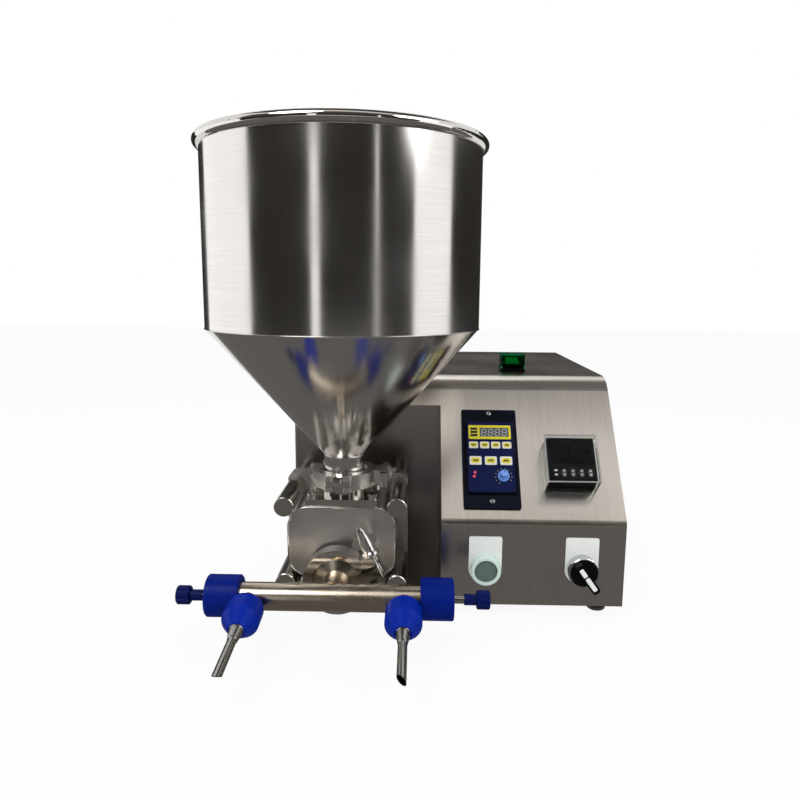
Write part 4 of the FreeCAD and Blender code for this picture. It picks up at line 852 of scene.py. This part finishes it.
def stagePlane(name, width, height, where, material):
    bm = bmesh.new()
    bmesh.ops.create_grid(bm, x_segments=8, y_segments=8, size=0.5)
    bmesh.ops.transform(bm, verts=bm.verts, matrix=where @ stretched(width, height, 1))
    plane = meshObject(name, bm, material)
    return plane


# pale paper, lifted towards white where it is seen so that only the soft shadows show
floorPaper, tree, surface = startMaterial("floorPaper", Roughness=stage["floorRoughness"])
grain = noise(tree, objectPlace(tree), stage["floorPerMetre"], stage["floorDetail"])
paper = colour(stage["floor"])
shade = addNode(tree, "ShaderNodeMix", {6: shaded(paper, stage["floorShade"]), 7: paper}, {0: grain},
                data_type="RGBA")
toSurface(tree, surface, Base_Color=shade.outputs[2])
lift = addNode(tree, "ShaderNodeMath", {1: stage["floorLift"]}, {0: seenWhite(tree)}, operation="MULTIPLY")
glow = addNode(tree, "ShaderNodeEmission", {"Color": white, "Strength": 1.0})
mixed = blendShaders(tree, lift.outputs[0], surface, glow)
tree.links.new(mixed, outputOf(tree))
stagePlane("floor", stage["floorSize"], stage["floorSize"],
           shift(0, 0, place(0, 0, -controlBox["feet"]).z - stage["floorBelow"]), floorPaper)


def cardMaterial(name, code, strength=1.0):
    # flat matt card: emission gives one even tone in the mirror of the steel
    material, tree, surface = startMaterial(name)
    tree.nodes.remove(surface)
    tone = addNode(tree, "ShaderNodeEmission", {"Color": colour(code), "Strength": strength})
    tree.links.new(tone.outputs[0], outputOf(tree))
    return material


def mirrorCard(name, width, height, where, material):
    # seen only in the mirror of the metal
    card = stagePlane(name, width, height, where, material)
    card.visible_camera = False
    card.visible_diffuse = False
    card.visible_shadow = False
    card.visible_transmission = False


ringMiddle = place(*cardRing["middle"], 0)
for kind in ("dark", "bright", "sky"):
    code, glow, low, high, spans = cardRing[kind]
    cardFinish = cardMaterial(kind + "Card", code, glow)
    for i, (first, last) in enumerate(spans):
        steps = max(1, round((last - first) / cardRing["cardDegrees"]))
        width = 2 * cardRing["radius"] * math.tan(math.radians((last - first) / steps) / 2)
        for k in range(steps):
            angle = math.radians(first + (k + 0.5) * (last - first) / steps)
            spot = shift(ringMiddle.x + cardRing["radius"] * math.sin(angle),
                         ringMiddle.y - cardRing["radius"] * math.cos(angle), (low + high) / 2)
            where = spot @ turned(angle, "Z") @ turned(math.pi / 2, "X")
            mirrorCard("%sCard%d_%d" % (kind, i, k), width, high - low, where, cardFinish)
for name, (code, width, depth, at, tilt) in flatCards.items():
    mirrorCard(name, width, depth, shift(*at) @ turned(math.radians(tilt), "X"), cardMaterial(name, code))

for name in ("key", "fill", "top"):
    spot, size, power = stage[name]
    data = bpy.data.lights.new(name, "AREA")
    data.shape = "DISK"
    data.size = size
    data.energy = power
    lamp = bpy.data.objects.new(name, data)
    lamp.location = spot
    lamp.rotation_euler = (Vector(stage["lampsAimAt"]) - Vector(spot)).to_track_quat("-Z", "Y").to_euler()
    bpy.context.collection.objects.link(lamp)
print("stage set")

# Camera solved from the photograph's edges: place, then degrees to the left, down and rolled
viewer = {"at": (-26.38, -662.53, 313.68), "left": 1.31, "down": 9.32, "roll": 0.41, "lens": 31.794,
          "sensor": 36.0, "near": 0.01}

yaw, pitch, roll = (math.radians(viewer[key]) for key in ("left", "down", "roll"))
ahead = Vector((-math.sin(yaw) * math.cos(pitch), math.cos(yaw) * math.cos(pitch), -math.sin(pitch)))
right = ahead.cross(Vector((0, 0, 1))).normalized()
up = right.cross(ahead)
tiltedRight = math.cos(roll) * right + math.sin(roll) * up
tiltedUp = -math.sin(roll) * right + math.cos(roll) * up
data = bpy.data.cameras.new("viewer")
data.lens = viewer["lens"]
data.sensor_width = viewer["sensor"]
data.clip_start = viewer["near"]
camera = bpy.data.objects.new("viewer", data)
aim = Matrix((tiltedRight, tiltedUp, -ahead)).transposed().to_4x4()
camera.matrix_world = Matrix.Translation(place(*viewer["at"])) @ aim
bpy.context.collection.objects.link(camera)
bpy.context.scene.camera = camera
bpy.context.scene.view_settings.view_transform = "Standard"
print("camera placed")
